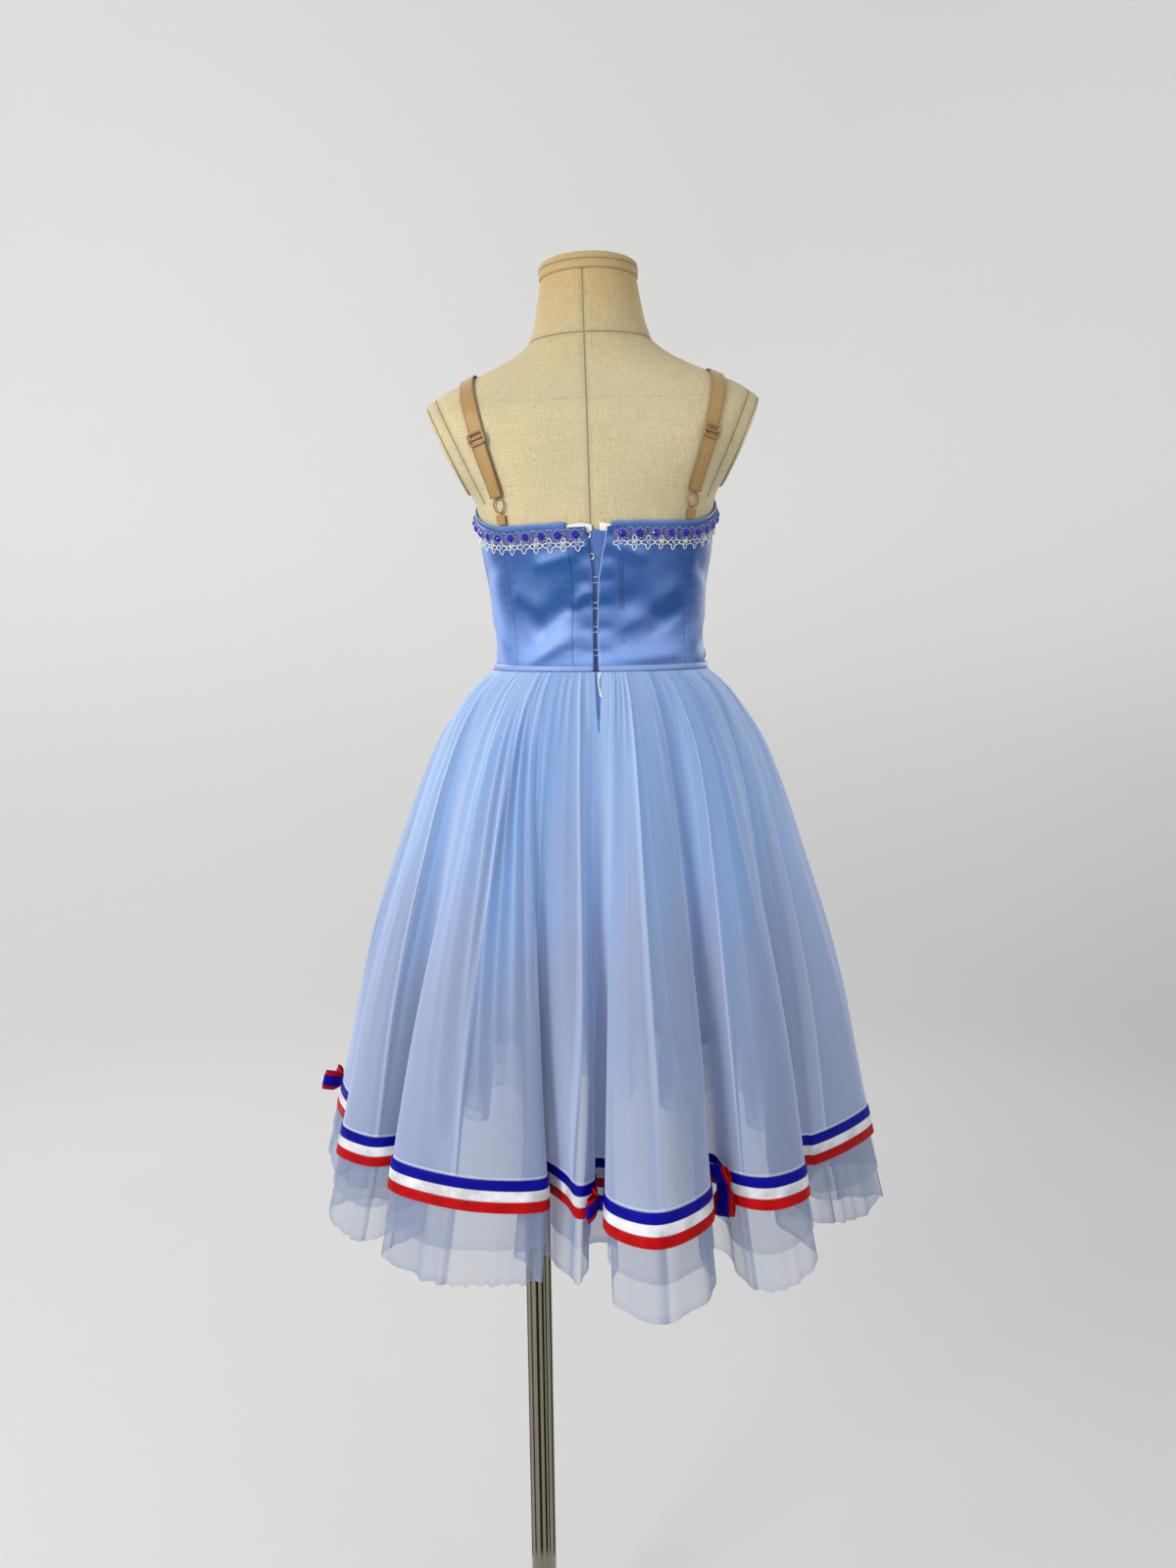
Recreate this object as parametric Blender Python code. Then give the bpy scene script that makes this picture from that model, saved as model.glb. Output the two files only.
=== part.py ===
"""A knee-length ballet dress on a limbless dress form that stands on a pole and a round base.

Metres, +Z up. The origin is the middle of the base's underside, on the pole's axis. The dress
front faces -Y and its hooked back faces +Y. The form hangs a little to the -X side of the pole.
"""

import math

import bmesh
import bpy
import numpy as np
from mathutils import Vector
from mathutils.bvhtree import BVHTree

# ---- Driving dimensions ----

MM = 0.001
GAP = 0.3 * MM

WAIST_HEIGHT = 1.180
FORM_OFFSET_X = -0.074
FORM_TILT = math.radians(1.25)

POLE_RADIUS = 14.0 * MM
BASE_RADIUS = 140.0 * MM
BASE_THICKNESS = 9.0 * MM

CLOTH = 1.0 * MM
BODICE_CLOTH = 1.2 * MM
FORM_CLEARANCE = 0.9 * MM

SKIRT_DROP = 480.0 * MM
RIBBON_WIDTH = 9.5 * MM
UPPER_PETTICOAT_DROP = 512.0 * MM
LOWER_PETTICOAT_DROP = 545.0 * MM
LONGEST_SKIRT_FACET = 80.0 * MM

STRAP_WIDTH = 14.0 * MM
TAB_WIDTH = 11.0 * MM

# ---- The form's sections, from the hips up to the neck ----
# height above the waist, half width, half depth, middle's distance behind the axis, squareness

FORM_SECTIONS = (
    (-0.200, 0.1060, 0.0820, 0.000, 2.2),
    (-0.185, 0.1165, 0.0910, 0.000, 2.2),
    (-0.150, 0.1210, 0.0950, 0.000, 2.2),
    (-0.100, 0.1180, 0.0930, 0.000, 2.2),
    (-0.050, 0.1090, 0.0850, 0.000, 2.2),
    (0.000, 0.1006, 0.0775, 0.000, 2.2),
    (0.030, 0.1000, 0.0770, 0.001, 2.2),
    (0.070, 0.1035, 0.0800, 0.002, 2.2),
    (0.110, 0.1095, 0.0850, 0.003, 2.2),
    (0.150, 0.1155, 0.0890, 0.003, 2.2),
    (0.170, 0.1200, 0.0900, 0.002, 2.3),
    (0.185, 0.1320, 0.0895, 0.001, 2.4),
    (0.200, 0.1470, 0.0890, 0.000, 2.4),
    (0.225, 0.1640, 0.0860, -0.002, 2.4),
    (0.243, 0.1700, 0.0800, -0.004, 2.4),
    (0.256, 0.1640, 0.0715, -0.005, 2.3),
    (0.269, 0.1480, 0.0635, -0.007, 2.2),
    (0.282, 0.1225, 0.0565, -0.009, 2.1),
    (0.293, 0.0985, 0.0525, -0.011, 2.0),
    (0.304, 0.0770, 0.0505, -0.013, 2.0),
    (0.316, 0.0635, 0.0490, -0.015, 2.0),
    (0.331, 0.0565, 0.0480, -0.017, 2.0),
    (0.353, 0.0512, 0.0468, -0.020, 2.0),
    (0.378, 0.0475, 0.0458, -0.023, 2.0),
)

FORM_RING_HEIGHTS = (
    -0.200, -0.192, -0.172, -0.145, -0.110, -0.075, -0.040, -0.010, 0.020, 0.045, 0.070,
    0.100, 0.124, 0.142, 0.158, 0.172, 0.184, 0.198, 0.212, 0.226, 0.239, 0.250, 0.260,
    0.270, 0.281, 0.293, 0.305, 0.320, 0.342, 0.378,
)
FORM_COLUMNS = 40

# An arm plate closes each armhole on a slanting plane: its half width at a height, and its slope.
ARM_PLANE_HEIGHT = 0.170
ARM_PLANE_X = 0.1212
ARM_PLANE_SLOPE = 0.445
ARMHOLE_LOWEST = 0.171
ARM_PLATE_THICKNESS = 2.5 * MM

# ---- The bodice ----

BODICE_TOP_BACK = 0.1325
BODICE_TOP_RISE = 0.055
BODICE_TOP_TURN = 0.12
SIDE_BACK_SEAM = 40.0
SIDE_FRONT_SEAM = -45.0
LOWER_SPANS = 3
DEGREES_PER_COLUMN = 8.5

# Where the two back edges run beside the middle: height above the waist, left x, right x.
BACK_EDGES = (
    (0.000, 0.0070, 0.0025),
    (0.050, 0.0060, 0.0020),
    (0.085, 0.0052, -0.0002),
    (0.135, 0.0106, -0.0092),
)
PLACKET_WIDTH = 18.0 * MM
UNDERLAP_LEFT_X = 20.0 * MM
UNDERLAP_RIGHT_X = -12.0 * MM
UNDERLAP_TOP_GAP = 2.5 * MM
BACK_POCKET_CLEARANCE = 3.6 * MM
SIDE_CLEARANCE = 2.6 * MM

BAND_SIDE_LIFT = 0.4 * MM
BAND_LEFT_X = 28.5 * MM
BAND_RIGHT_X = -12.8 * MM
BAND_ABOVE = 5.0 * MM
BAND_BELOW = 15.0 * MM
TAPE_ABOVE = 6.5 * MM
TAPE_BELOW = 1.5 * MM
TAPE_MIDDLE_X = (5.0 * MM, -2.0 * MM)

LACE_HEIGHT = 12.5 * MM
PICOT_HEIGHT = 11.0 * MM
BRAID_TOP_GAP = 1.0 * MM
BRAID_LEFT_X = 11.5 * MM
BRAID_RIGHT_X = -13.5 * MM

# The waist piping's section: distance out from the panels, height above their lower edge.
PIPING_SECTION = (
    (0.0, 4.4 * MM),
    (1.6 * MM, 4.0 * MM),
    (2.4 * MM, 1.9 * MM),
    (1.5 * MM, -0.6 * MM),
    (0.0, -0.6 * MM),
)

FASTENER_HEIGHTS = (0.0173, 0.0390, 0.0612, 0.0846, 0.1060, 0.1255)
FASTENED = 4
WIRE_RADIUS = 0.4 * MM
EYE_HALF_HEIGHT = 2.6 * MM
EYE_HIDDEN = 4.0 * MM
EYE_SHOWS = 3.0 * MM
FASTENED_OVERLAP = 1.2 * MM
HOOK_LENGTH = 8.0 * MM
HOOK_HALF_HEIGHT = 1.6 * MM

# ---- The straps ----
# Each strap's route over the shoulder: degrees round from the back by the top, distance out in x.

STRAP_ROUTE = (
    (-60.0, 0.0860),
    (-29.0, 0.0892),
    (21.0, 0.1070),
    (60.0, 0.1185),
    (90.0, 0.1190),
    (130.0, 0.1080),
    (165.0, 0.0930),
    (182.0, 0.0850),
    (198.0, 0.0800),
)
STRAP_CENTRE_HEIGHT = 0.190
STRAP_FRONT_TURNS = (150.0, 198.0)
STRAP_STEPS = 26
LOOP_STEPS = 9
TAB_STEPS = 4
RING_TURN = -27.0
SLIDER_TURN = 21.0
LOWEST_TAB_TURN = -60.0
TAB_END_GAP = 1.4 * MM
STRAP_END_GAP = 3.6 * MM
RING_RADIUS = 6.5 * MM
RING_WIRE = 0.8 * MM
RING_SIDES = 14
SLIDER_HALF_WIDTH = 8.0 * MM
SLIDER_HALF_HEIGHT = 5.5 * MM
STRAP_CLEARANCE = 1.8 * MM
LOOP_CLEARANCE = STRAP_CLEARANCE + CLOTH + 2 * GAP
SLIDER_CLEARANCE = LOOP_CLEARANCE + CLOTH + 2 * GAP

# ---- The skirt ----
# drop below the waist, share of the way from the waist's outline to the hem's mean outline.
# From the last shared level down, the whole outline widens evenly, by HEM_FLARE for each metre.

SKIRT_SPREAD = (
    (0.000, 0.000),
    (0.020, 0.146),
    (0.045, 0.258),
    (0.100, 0.424),
    (0.180, 0.590),
    (0.300, 0.797),
    (0.480, 1.000),
    (0.600, 1.136),
)
HEM_FLARE = 0.9
WAIST_HALF_WIDTH = 0.1075
WAIST_HALF_DEPTH = 0.0845
WAIST_SQUARENESS = 2.2
HEM_HALF_WIDTH = 0.255
HEM_HALF_DEPTH = 0.210
SKIRT_TOP_DROP = 0.9 * MM
LAYER_STEP = CLOTH + 1.5 * GAP

# The levels that every layer of the skirt shares, as drops below the waist.
SHARED_DROPS = (SKIRT_TOP_DROP, 30.0 * MM, 130.0 * MM, 300.0 * MM, 450.0 * MM)

# The hem's folds, round from the left side by the back: where each fold starts, crowns and ends,
# then the loop of cloth behind it; each as degrees from the left side and metres from the middle.
HEM_FOLDS = (
    # name, start deg, start m, crown deg, crown m, end deg, end m, loop deg, loop m, loop radius
    ("A", -21, 0.262, -10, 0.300, 6, 0.262, 10, 0.192, 0.008),
    ("B", 14, 0.238, 16, 0.283, 26, 0.257, 31, 0.206, 0.008),
    ("C", 36, 0.257, 57, 0.236, 75, 0.204, 65, 0.168, 0.009),
    ("D", 79, 0.194, 83, 0.217, 86.6, 0.203, 87, 0.160, 0.009),
    ("E", 89.6, 0.238, 99, 0.268, 113, 0.238, 121, 0.180, 0.009),
    ("F", 121, 0.222, 126, 0.251, 137, 0.256, 143, 0.202, 0.008),
    ("G", 148, 0.226, 160, 0.258, 171, 0.282, 165, 0.212, 0.008),
    ("H", 182, 0.238, 193, 0.284, 205, 0.262, 211, 0.196, 0.008),
    ("I", 214, 0.240, 226, 0.254, 237, 0.236, 243, 0.178, 0.009),
    ("J", 246, 0.220, 253, 0.244, 260, 0.228, 264, 0.168, 0.009),
    ("K", 268, 0.228, 278, 0.254, 288, 0.232, 291, 0.170, 0.009),
    ("L", 295, 0.228, 304, 0.248, 314, 0.242, 317, 0.188, 0.008),
    ("M", 321, 0.252, 327, 0.272, 334, 0.262, 333, 0.200, 0.008),
)
CURVE_STEPS = 16
HEM_STEP = 1.5 * MM
HEM_SMOOTHING = 4.0 * MM
WAIST_SMOOTHING = 60.0 * MM

TAPE_WAIST_COLUMN_SHARES = (0.25, 0.75)
TAPE_WAIST_X = 3.0 * MM
TAPE_WAIST_ROW_SHARES = (0.03, 0.75)

# The bows on the hem. The place counts the hem curve's own points, five to a fold: its start, its
# crown, its end and the two sides of the loop behind it.
BOWS = (
    # name, place, half length, loop depth
    ("left", 1.15, 0.021, 0.009),
    ("back_inner", 19.70, 0.015, 0.003),
    ("back_outer", 24.80, 0.017, 0.005),
    ("right", 35.30, 0.021, 0.009),
    ("front", 51.20, 0.021, 0.009),
)
BOW_RED_HALF_HEIGHT = 11.0 * MM
BOW_BLUE_HALF_HEIGHT = 4.8 * MM
BOW_COLUMNS = 10
BOW_HALF_THICKNESS = 2.9 * MM
BOW_TIE_SHARE = 0.35
BOW_DROP = 465.0 * MM


# ---- Materials ----

def material(name, colour, roughness, metallic=0.0):
    """A plain finish for one kind of piece."""
    finish = bpy.data.materials.new(name)
    finish.use_nodes = True
    shader = finish.node_tree.nodes["Principled BSDF"]
    shader.inputs["Base Color"].default_value = (*colour, 1.0)
    shader.inputs["Roughness"].default_value = roughness
    shader.inputs["Metallic"].default_value = metallic
    finish.diffuse_color = (*colour, 1.0)
    return finish


def make_materials():
    """Every finish of the dress and its form, by name."""
    return {
        "linen": material("linen", (0.66, 0.56, 0.36), 0.85),
        "chrome": material("chrome", (0.62, 0.60, 0.55), 0.15, 1.0),
        "steel": material("steel", (0.55, 0.55, 0.55), 0.35, 1.0),
        "blue_satin": material("blue_satin", (0.16, 0.36, 0.78), 0.38),
        "tulle": material("tulle", (0.38, 0.48, 0.78), 0.7),
        "ribbon_blue": material("ribbon_blue", (0.005, 0.005, 0.42), 0.4),
        "ribbon_white": material("ribbon_white", (0.85, 0.85, 0.86), 0.4),
        "ribbon_red": material("ribbon_red", (0.60, 0.004, 0.008), 0.4),
        "lace": material("lace", (0.55, 0.52, 0.78), 0.8),
        "cotton": material("cotton", (0.88, 0.88, 0.86), 0.8),
        "strap": material("strap", (0.50, 0.28, 0.13), 0.55),
        "coated_wire": material("coated_wire", (0.52, 0.27, 0.12), 0.4),
    }


# ---- Meshes and walls ----

def add_piece(name, points, faces, finish, parent, smooth=True):
    """One closed solid as an object of its own, with its faces pointing out."""
    mesh = bpy.data.meshes.new(name)
    mesh.from_pydata([tuple(p) for p in points], [], faces)
    body = bmesh.new()
    body.from_mesh(mesh)
    bmesh.ops.recalc_face_normals(body, faces=body.faces)
    body.to_mesh(mesh)
    body.free()
    if smooth:
        mesh.shade_smooth()
        mesh.set_sharp_from_angle(angle=math.radians(40))
    mesh.materials.append(finish)
    piece = bpy.data.objects.new(name, mesh)
    piece.parent = parent
    bpy.context.scene.collection.objects.link(piece)
    return piece


def wall_faces(rows, columns, closed):
    """Faces of a wall between two grids of points: both sides, cut alike, then its rims."""
    size = rows * columns
    spans = columns if closed else columns - 1

    def at(side, row, column):
        return side * size + row * columns + column % columns

    faces = []
    for row in range(rows - 1):
        for column in range(spans):
            for side in (0, 1):
                here, across = at(side, row, column), at(side, row + 1, column + 1)
                faces.append((here, at(side, row + 1, column), across))
                faces.append((here, across, at(side, row, column + 1)))
    for row in (0, rows - 1):
        for column in range(spans):
            faces.append((at(0, row, column), at(0, row, column + 1),
                          at(1, row, column + 1), at(1, row, column)))
    if not closed:
        for column in (0, columns - 1):
            for row in range(rows - 1):
                faces.append((at(0, row, column), at(0, row + 1, column),
                              at(1, row + 1, column), at(1, row, column)))
    return faces


def add_wall(name, outer, inner, closed, finish, parent):
    """A cloth wall between an outer and an inner grid, each as rows of points."""
    rows, columns = outer.shape[:2]
    points = np.concatenate([outer.reshape(-1, 3), inner.reshape(-1, 3)])
    return add_piece(name, points, wall_faces(rows, columns, closed), finish, parent)


def add_turned(name, profile, finish, parent, centre=(0.0, 0.0), segments=32, stretch=(1.0, 1.0)):
    """A solid turned about an upright axis. The profile is (radius, height) pairs, upwards."""
    points = []
    for radius, height in profile:
        for step in range(segments):
            angle = 2 * math.pi * step / segments
            points.append((centre[0] + radius * stretch[0] * math.cos(angle),
                           centre[1] + radius * stretch[1] * math.sin(angle), height))
    faces = [tuple(reversed(range(segments)))]
    for row in range(len(profile) - 1):
        for step in range(segments):
            after = (step + 1) % segments
            faces.append((row * segments + step, row * segments + after,
                          (row + 1) * segments + after, (row + 1) * segments + step))
    top = (len(profile) - 1) * segments
    faces.append(tuple(range(top, top + segments)))
    return add_piece(name, points, faces, finish, parent)


def read_rows(rows, value):
    """The columns of a table at a value of its first column, on smooth curves through its rows."""
    table = np.array(rows, dtype=float)
    keys = table[:, 0]
    spans = np.diff(keys)
    slopes = np.diff(table[:, 1:], axis=0) / spans[:, None]
    tangents = np.empty_like(table[:, 1:])
    tangents[0], tangents[-1] = slopes[0], slopes[-1]
    weight = spans[1:, None] / (spans[:-1] + spans[1:])[:, None]
    tangents[1:-1] = weight * slopes[:-1] + (1 - weight) * slopes[1:]
    place = int(np.clip(np.searchsorted(keys, value) - 1, 0, len(keys) - 2))
    step = spans[place]
    t = float(np.clip((value - keys[place]) / step, 0.0, 1.0))
    start, end = table[place, 1:], table[place + 1, 1:]
    return ((2 * t**3 - 3 * t**2 + 1) * start + (t**3 - 2 * t**2 + t) * step * tangents[place]
            + (3 * t**2 - 2 * t**3) * end + (t**3 - t**2) * step * tangents[place + 1])


# ---- The form ----

def signed_power(value, power):
    return math.copysign(abs(value) ** power, value)


def form_point(degrees, height, out=0.0):
    """A point on the form, or out from it, in the form's own upright frame at the waist."""
    half_width, half_depth, back, square = read_rows(FORM_SECTIONS, height)
    angle = math.radians(degrees)
    x = (half_width + out) * signed_power(math.cos(angle), 2 / square)
    y = back + (half_depth + out) * signed_power(math.sin(angle), 2 / square)
    return np.array((x, y, height))


def back_degrees(x, height):
    """The angle at which the back of the form is at this x."""
    half_width, _, _, square = read_rows(FORM_SECTIONS, height)
    share = signed_power(x / half_width, square / 2)
    return math.degrees(math.acos(share))


def arm_plane(side):
    """A point on the slanting plane of one armhole, and the plane's outward normal."""
    point = Vector((side * ARM_PLANE_X, 0.0, ARM_PLANE_HEIGHT))
    normal = Vector((side, 0.0, -ARM_PLANE_SLOPE)).normalized()
    return point, normal


def make_form(finishes, frame):
    """The padded torso, cut at both armholes, with a plate in each and a cap on the neck."""
    points = []
    for height in FORM_RING_HEIGHTS:
        for step in range(FORM_COLUMNS):
            points.append(form_point(360.0 * step / FORM_COLUMNS, height))
    faces = [tuple(reversed(range(FORM_COLUMNS)))]
    for row in range(len(FORM_RING_HEIGHTS) - 1):
        for step in range(FORM_COLUMNS):
            after = (step + 1) % FORM_COLUMNS
            faces.append((row * FORM_COLUMNS + step, row * FORM_COLUMNS + after,
                          (row + 1) * FORM_COLUMNS + after, (row + 1) * FORM_COLUMNS + step))
    top = (len(FORM_RING_HEIGHTS) - 1) * FORM_COLUMNS
    faces.append(tuple(range(top, top + FORM_COLUMNS)))
    torso = add_piece("form_torso", points, faces, finishes["linen"], frame)
    body = bmesh.new()
    body.from_mesh(torso.data)
    for side, word in ((1, "left"), (-1, "right")):
        point, normal = arm_plane(side)
        upper = [vertex for vertex in body.verts if vertex.co.z > ARMHOLE_LOWEST]
        above = set(upper)
        edges = [edge for edge in body.edges if above.issuperset(edge.verts)]
        sides = [face for face in body.faces if above.issuperset(face.verts)]
        bmesh.ops.bisect_plane(body, geom=upper + edges + sides, plane_co=point,
                               plane_no=normal, clear_outer=True, dist=1e-6)
        corners = list({vertex for edge in body.edges if edge.is_boundary for vertex in edge.verts})
        bmesh.ops.remove_doubles(body, verts=corners, dist=2.0 * MM)
        rim = [edge for edge in body.edges if edge.is_boundary]
        filled = bmesh.ops.edgeloop_fill(body, edges=rim)
        make_arm_plate(filled["faces"][0], normal, word, finishes["linen"], frame)
    bmesh.ops.recalc_face_normals(body, faces=body.faces)
    body.to_mesh(torso.data)
    body.free()
    make_neck_cap(finishes["linen"], frame)
    return torso


def make_arm_plate(face, normal, word, finish, frame):
    """A thin plate over one armhole, with a rounded rim."""
    rim = [vertex.co.copy() for vertex in face.verts]
    middle = sum(rim, Vector()) / len(rim)
    # share of the rim's size, height above the armhole's plane
    profile = ((0.97, GAP), (0.985, GAP + 0.5 * MM), (0.975, ARM_PLATE_THICKNESS - 0.6 * MM),
               (0.94, ARM_PLATE_THICKNESS))
    points = [middle + (point - middle) * share + normal * out
              for share, out in profile for point in rim]
    count = len(rim)
    faces = [tuple(range(count))]
    for row in range(len(profile) - 1):
        for step in range(count):
            after = (step + 1) % count
            faces.append((row * count + step, row * count + after,
                          (row + 1) * count + after, (row + 1) * count + step))
    faces.append(tuple(range((len(profile) - 1) * count, len(profile) * count)))
    add_piece(f"form_arm_plate_{word}", points, faces, finish, frame)


def make_neck_cap(finish, frame):
    """The domed cap on the neck, a little wider than the neck's top."""
    half_width, half_depth, back, _ = FORM_SECTIONS[-1][1:]
    bottom = FORM_SECTIONS[-1][0] + GAP
    # share of the neck's size, height above the cap's underside
    profile = ((0.98, 0.0), (1.035, 1.2 * MM), (1.04, 7.0 * MM), (1.02, 12.0 * MM),
               (0.93, 15.5 * MM), (0.70, 17.6 * MM), (0.35, 18.4 * MM))
    add_turned("form_neck_cap", [(share, bottom + up) for share, up in profile], finish, frame,
               centre=(0.0, back), segments=32, stretch=(half_width, half_depth))


def make_stand(finishes, frame):
    """The socket under the form, the pole and the round base."""
    collar = POLE_RADIUS + 9 * MM
    drop = -FORM_SECTIONS[0][0]
    reach = (collar - FORM_OFFSET_X + drop * math.sin(FORM_TILT)) / math.cos(FORM_TILT)
    underside = WAIST_HEIGHT - reach * math.sin(FORM_TILT) - drop * math.cos(FORM_TILT)
    socket_top = underside - GAP
    socket_bottom = socket_top - 34 * MM
    add_turned("stand_socket", [(POLE_RADIUS + 5 * MM, socket_bottom),
                                (POLE_RADIUS + 7 * MM, socket_bottom + 4 * MM),
                                (POLE_RADIUS + 7 * MM, socket_top - 6 * MM),
                                (collar, socket_top - 4 * MM),
                                (collar, socket_top)], finishes["steel"], frame)
    add_turned("stand_base", [(BASE_RADIUS - 1 * MM, 0.0), (BASE_RADIUS, 1 * MM),
                              (BASE_RADIUS, BASE_THICKNESS - 3 * MM),
                              (BASE_RADIUS - 3 * MM, BASE_THICKNESS)],
               finishes["chrome"], frame, segments=64)
    add_turned("stand_pole", [(POLE_RADIUS, BASE_THICKNESS + GAP),
                              (POLE_RADIUS, socket_bottom - GAP)], finishes["chrome"], frame)


# ---- The bodice ----

def bodice_top(degrees):
    """The height of the bodice's top edge above the waist: low at the back, steep at the sides."""
    front = (1 - math.sin(math.radians(degrees))) / 2
    share = max((front - BODICE_TOP_TURN) / (1 - BODICE_TOP_TURN), 0.0)
    return BODICE_TOP_BACK + BODICE_TOP_RISE * share**2 * (3 - 2 * share)


def bodice_clearance(degrees):
    """How far the panels stand off the form: more where the hooks lie under them."""
    away = abs((degrees - 90 + 180) % 360 - 180)
    share = min(max((away - 14) / 14, 0.0), 1.0)
    return BACK_POCKET_CLEARANCE + (SIDE_CLEARANCE - BACK_POCKET_CLEARANCE) * share


def level_cut(degrees):
    """The bodice's lower edge in the tilted form's frame, so that it is level in the room."""
    return form_point(degrees, 0.0)[0] * math.tan(FORM_TILT)


def bodice_heights(degrees):
    """The heights of a panel's rows at an angle: its top, the trim's lower edges, then down."""
    top = bodice_top(degrees)
    lace_foot = top - BRAID_TOP_GAP - LACE_HEIGHT - GAP / 2
    edging_foot = lace_foot - PICOT_HEIGHT - GAP / 2
    return [top, lace_foot, *np.linspace(edging_foot, level_cut(degrees), LOWER_SPANS + 1)]


def panel_sides():
    """Each panel's name and its two side edges' angles at a height, round from the back's middle."""
    def fold(height):
        return 360 + edge_degrees(1, height, PLACKET_WIDTH)
    side_back, side_front = 180 - SIDE_BACK_SEAM, 180 - SIDE_FRONT_SEAM
    return (
        ("back_right", lambda height: edge_degrees(-1, height), lambda height: side_back),
        ("side_right", lambda height: side_back, lambda height: side_front),
        ("front", lambda height: side_front, lambda height: 360 + SIDE_FRONT_SEAM),
        ("side_left", lambda height: 360 + SIDE_FRONT_SEAM, lambda height: 360 + SIDE_BACK_SEAM),
        ("back_left", lambda height: 360 + SIDE_BACK_SEAM, fold),
        ("placket_left", fold, lambda height: 360 + edge_degrees(1, height)),
    )


def panel_columns(start, end, height):
    """Angles across one panel at a height, with half of a seam's gap at each side."""
    seam = math.degrees(GAP / 2 / FORM_SECTIONS[5][1])
    first, last = start(height) + seam, end(height) - seam
    count = max(3, round((end(0.07) - start(0.07)) / DEGREES_PER_COLUMN) + 1)
    return np.linspace(first, last, count)


def round_columns(first, last, height):
    """Angles right round the bodice, from first to last by way of every panel's own columns."""
    angles = [first]
    for _, start, end in panel_sides():
        for degrees in panel_columns(start, end, height):
            if angles[-1] + 1.0 < degrees < last - 1.0:
                angles.append(degrees)
    return np.array(angles + [last])


def fitted_wall(name, columns, heights, out, thickness, finish, frame):
    """A wall fitted round the form. Each row has its own angles; heights gives every row's height."""
    outer, inner = [], []
    for row, angles in enumerate(columns):
        for grid, lift in ((inner, 0.0), (outer, thickness)):
            grid.append([form_point(degrees, heights(degrees)[row], out(degrees) + lift)
                         for degrees in angles])
    return add_wall(name, np.array(outer), np.array(inner), False, finish, frame)


def edge_degrees(side, height, inset=0.0):
    """The angle of one back edge at a height, or inset from it."""
    left, right = read_rows(BACK_EDGES, height)
    if side > 0:
        return back_degrees(left + inset, height)
    return back_degrees(right - inset, height)


def make_bodice(finishes, frame):
    """The satin panels round from the right back edge by the front, and what lies behind them."""
    satin = finishes["blue_satin"]
    for name, start, end in panel_sides():
        columns = [panel_columns(start, end, height) for height in bodice_heights(90.0)]
        fitted_wall(name, columns, bodice_heights, bodice_clearance, BODICE_CLOTH, satin, frame)
    make_underlap(satin, frame)
    make_top_band(satin, frame)


def on_the_form(degrees):
    """How far the pieces that lie next to the form stand off it."""
    return FORM_CLEARANCE


def make_underlap(finish, frame):
    """The flap that fills the opening behind the two back edges."""
    def heights(degrees):
        return np.linspace(bodice_top(degrees) - UNDERLAP_TOP_GAP, level_cut(degrees), 7)
    columns = [np.linspace(back_degrees(UNDERLAP_LEFT_X, height),
                           back_degrees(UNDERLAP_RIGHT_X, height), 5) for height in heights(90.0)]
    fitted_wall("underlap", columns, heights, on_the_form, CLOTH, finish, frame)


def round_the_sides(degrees):
    """How far the top band stands off the form: a little more at the sides, where its edge is steep."""
    return FORM_CLEARANCE + BAND_SIDE_LIFT * math.cos(math.radians(degrees)) ** 2


def make_top_band(finish, frame):
    """The lining's rolled top, standing just above the panels inside them."""
    columns = round_columns(back_degrees(BAND_RIGHT_X, BODICE_TOP_BACK),
                            360 + back_degrees(BAND_LEFT_X, BODICE_TOP_BACK), BODICE_TOP_BACK)
    fitted_wall("top_band", (columns, columns, columns),
                lambda degrees: (bodice_top(degrees) + BAND_ABOVE, bodice_top(degrees),
                                 bodice_top(degrees) - BAND_BELOW),
                round_the_sides, CLOTH, finish, frame)


def make_top_tapes(finish, frame):
    """The two ends of white cotton tape that stand above the back opening."""
    top = BODICE_TOP_BACK
    ends = (("left", BAND_LEFT_X - 2 * GAP, TAPE_MIDDLE_X[0]),
            ("right", TAPE_MIDDLE_X[1], BAND_RIGHT_X + 2 * GAP))
    for word, left_x, right_x in ends:
        columns = np.linspace(back_degrees(left_x, top), back_degrees(right_x, top), 4)
        fitted_wall(f"tape_{word}", (columns, columns),
                    lambda degrees: (bodice_top(degrees) + TAPE_ABOVE,
                                     bodice_top(degrees) - TAPE_BELOW),
                    on_the_form, CLOTH, finish, frame)


def make_piping(finish, frame):
    """The rolled satin piping round the bodice's lower edge, open at the back."""
    columns = round_columns(edge_degrees(-1, 0.0), 360 + edge_degrees(1, 0.0), 0.0)
    points = []
    for degrees in columns:
        out = bodice_clearance(degrees) + BODICE_CLOTH + 2 * GAP
        for side, up in PIPING_SECTION:
            points.append(form_point(degrees, level_cut(degrees) + up, out + side))
    count = len(PIPING_SECTION)
    faces = [tuple(range(count)), tuple(range(len(points) - count, len(points)))]
    for row in range(len(columns) - 1):
        for step in range(count):
            after = (step + 1) % count
            faces.append((row * count + step, row * count + after,
                          (row + 1) * count + after, (row + 1) * count + step))
    add_piece("waist_piping", points, faces, finish, frame)


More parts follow.
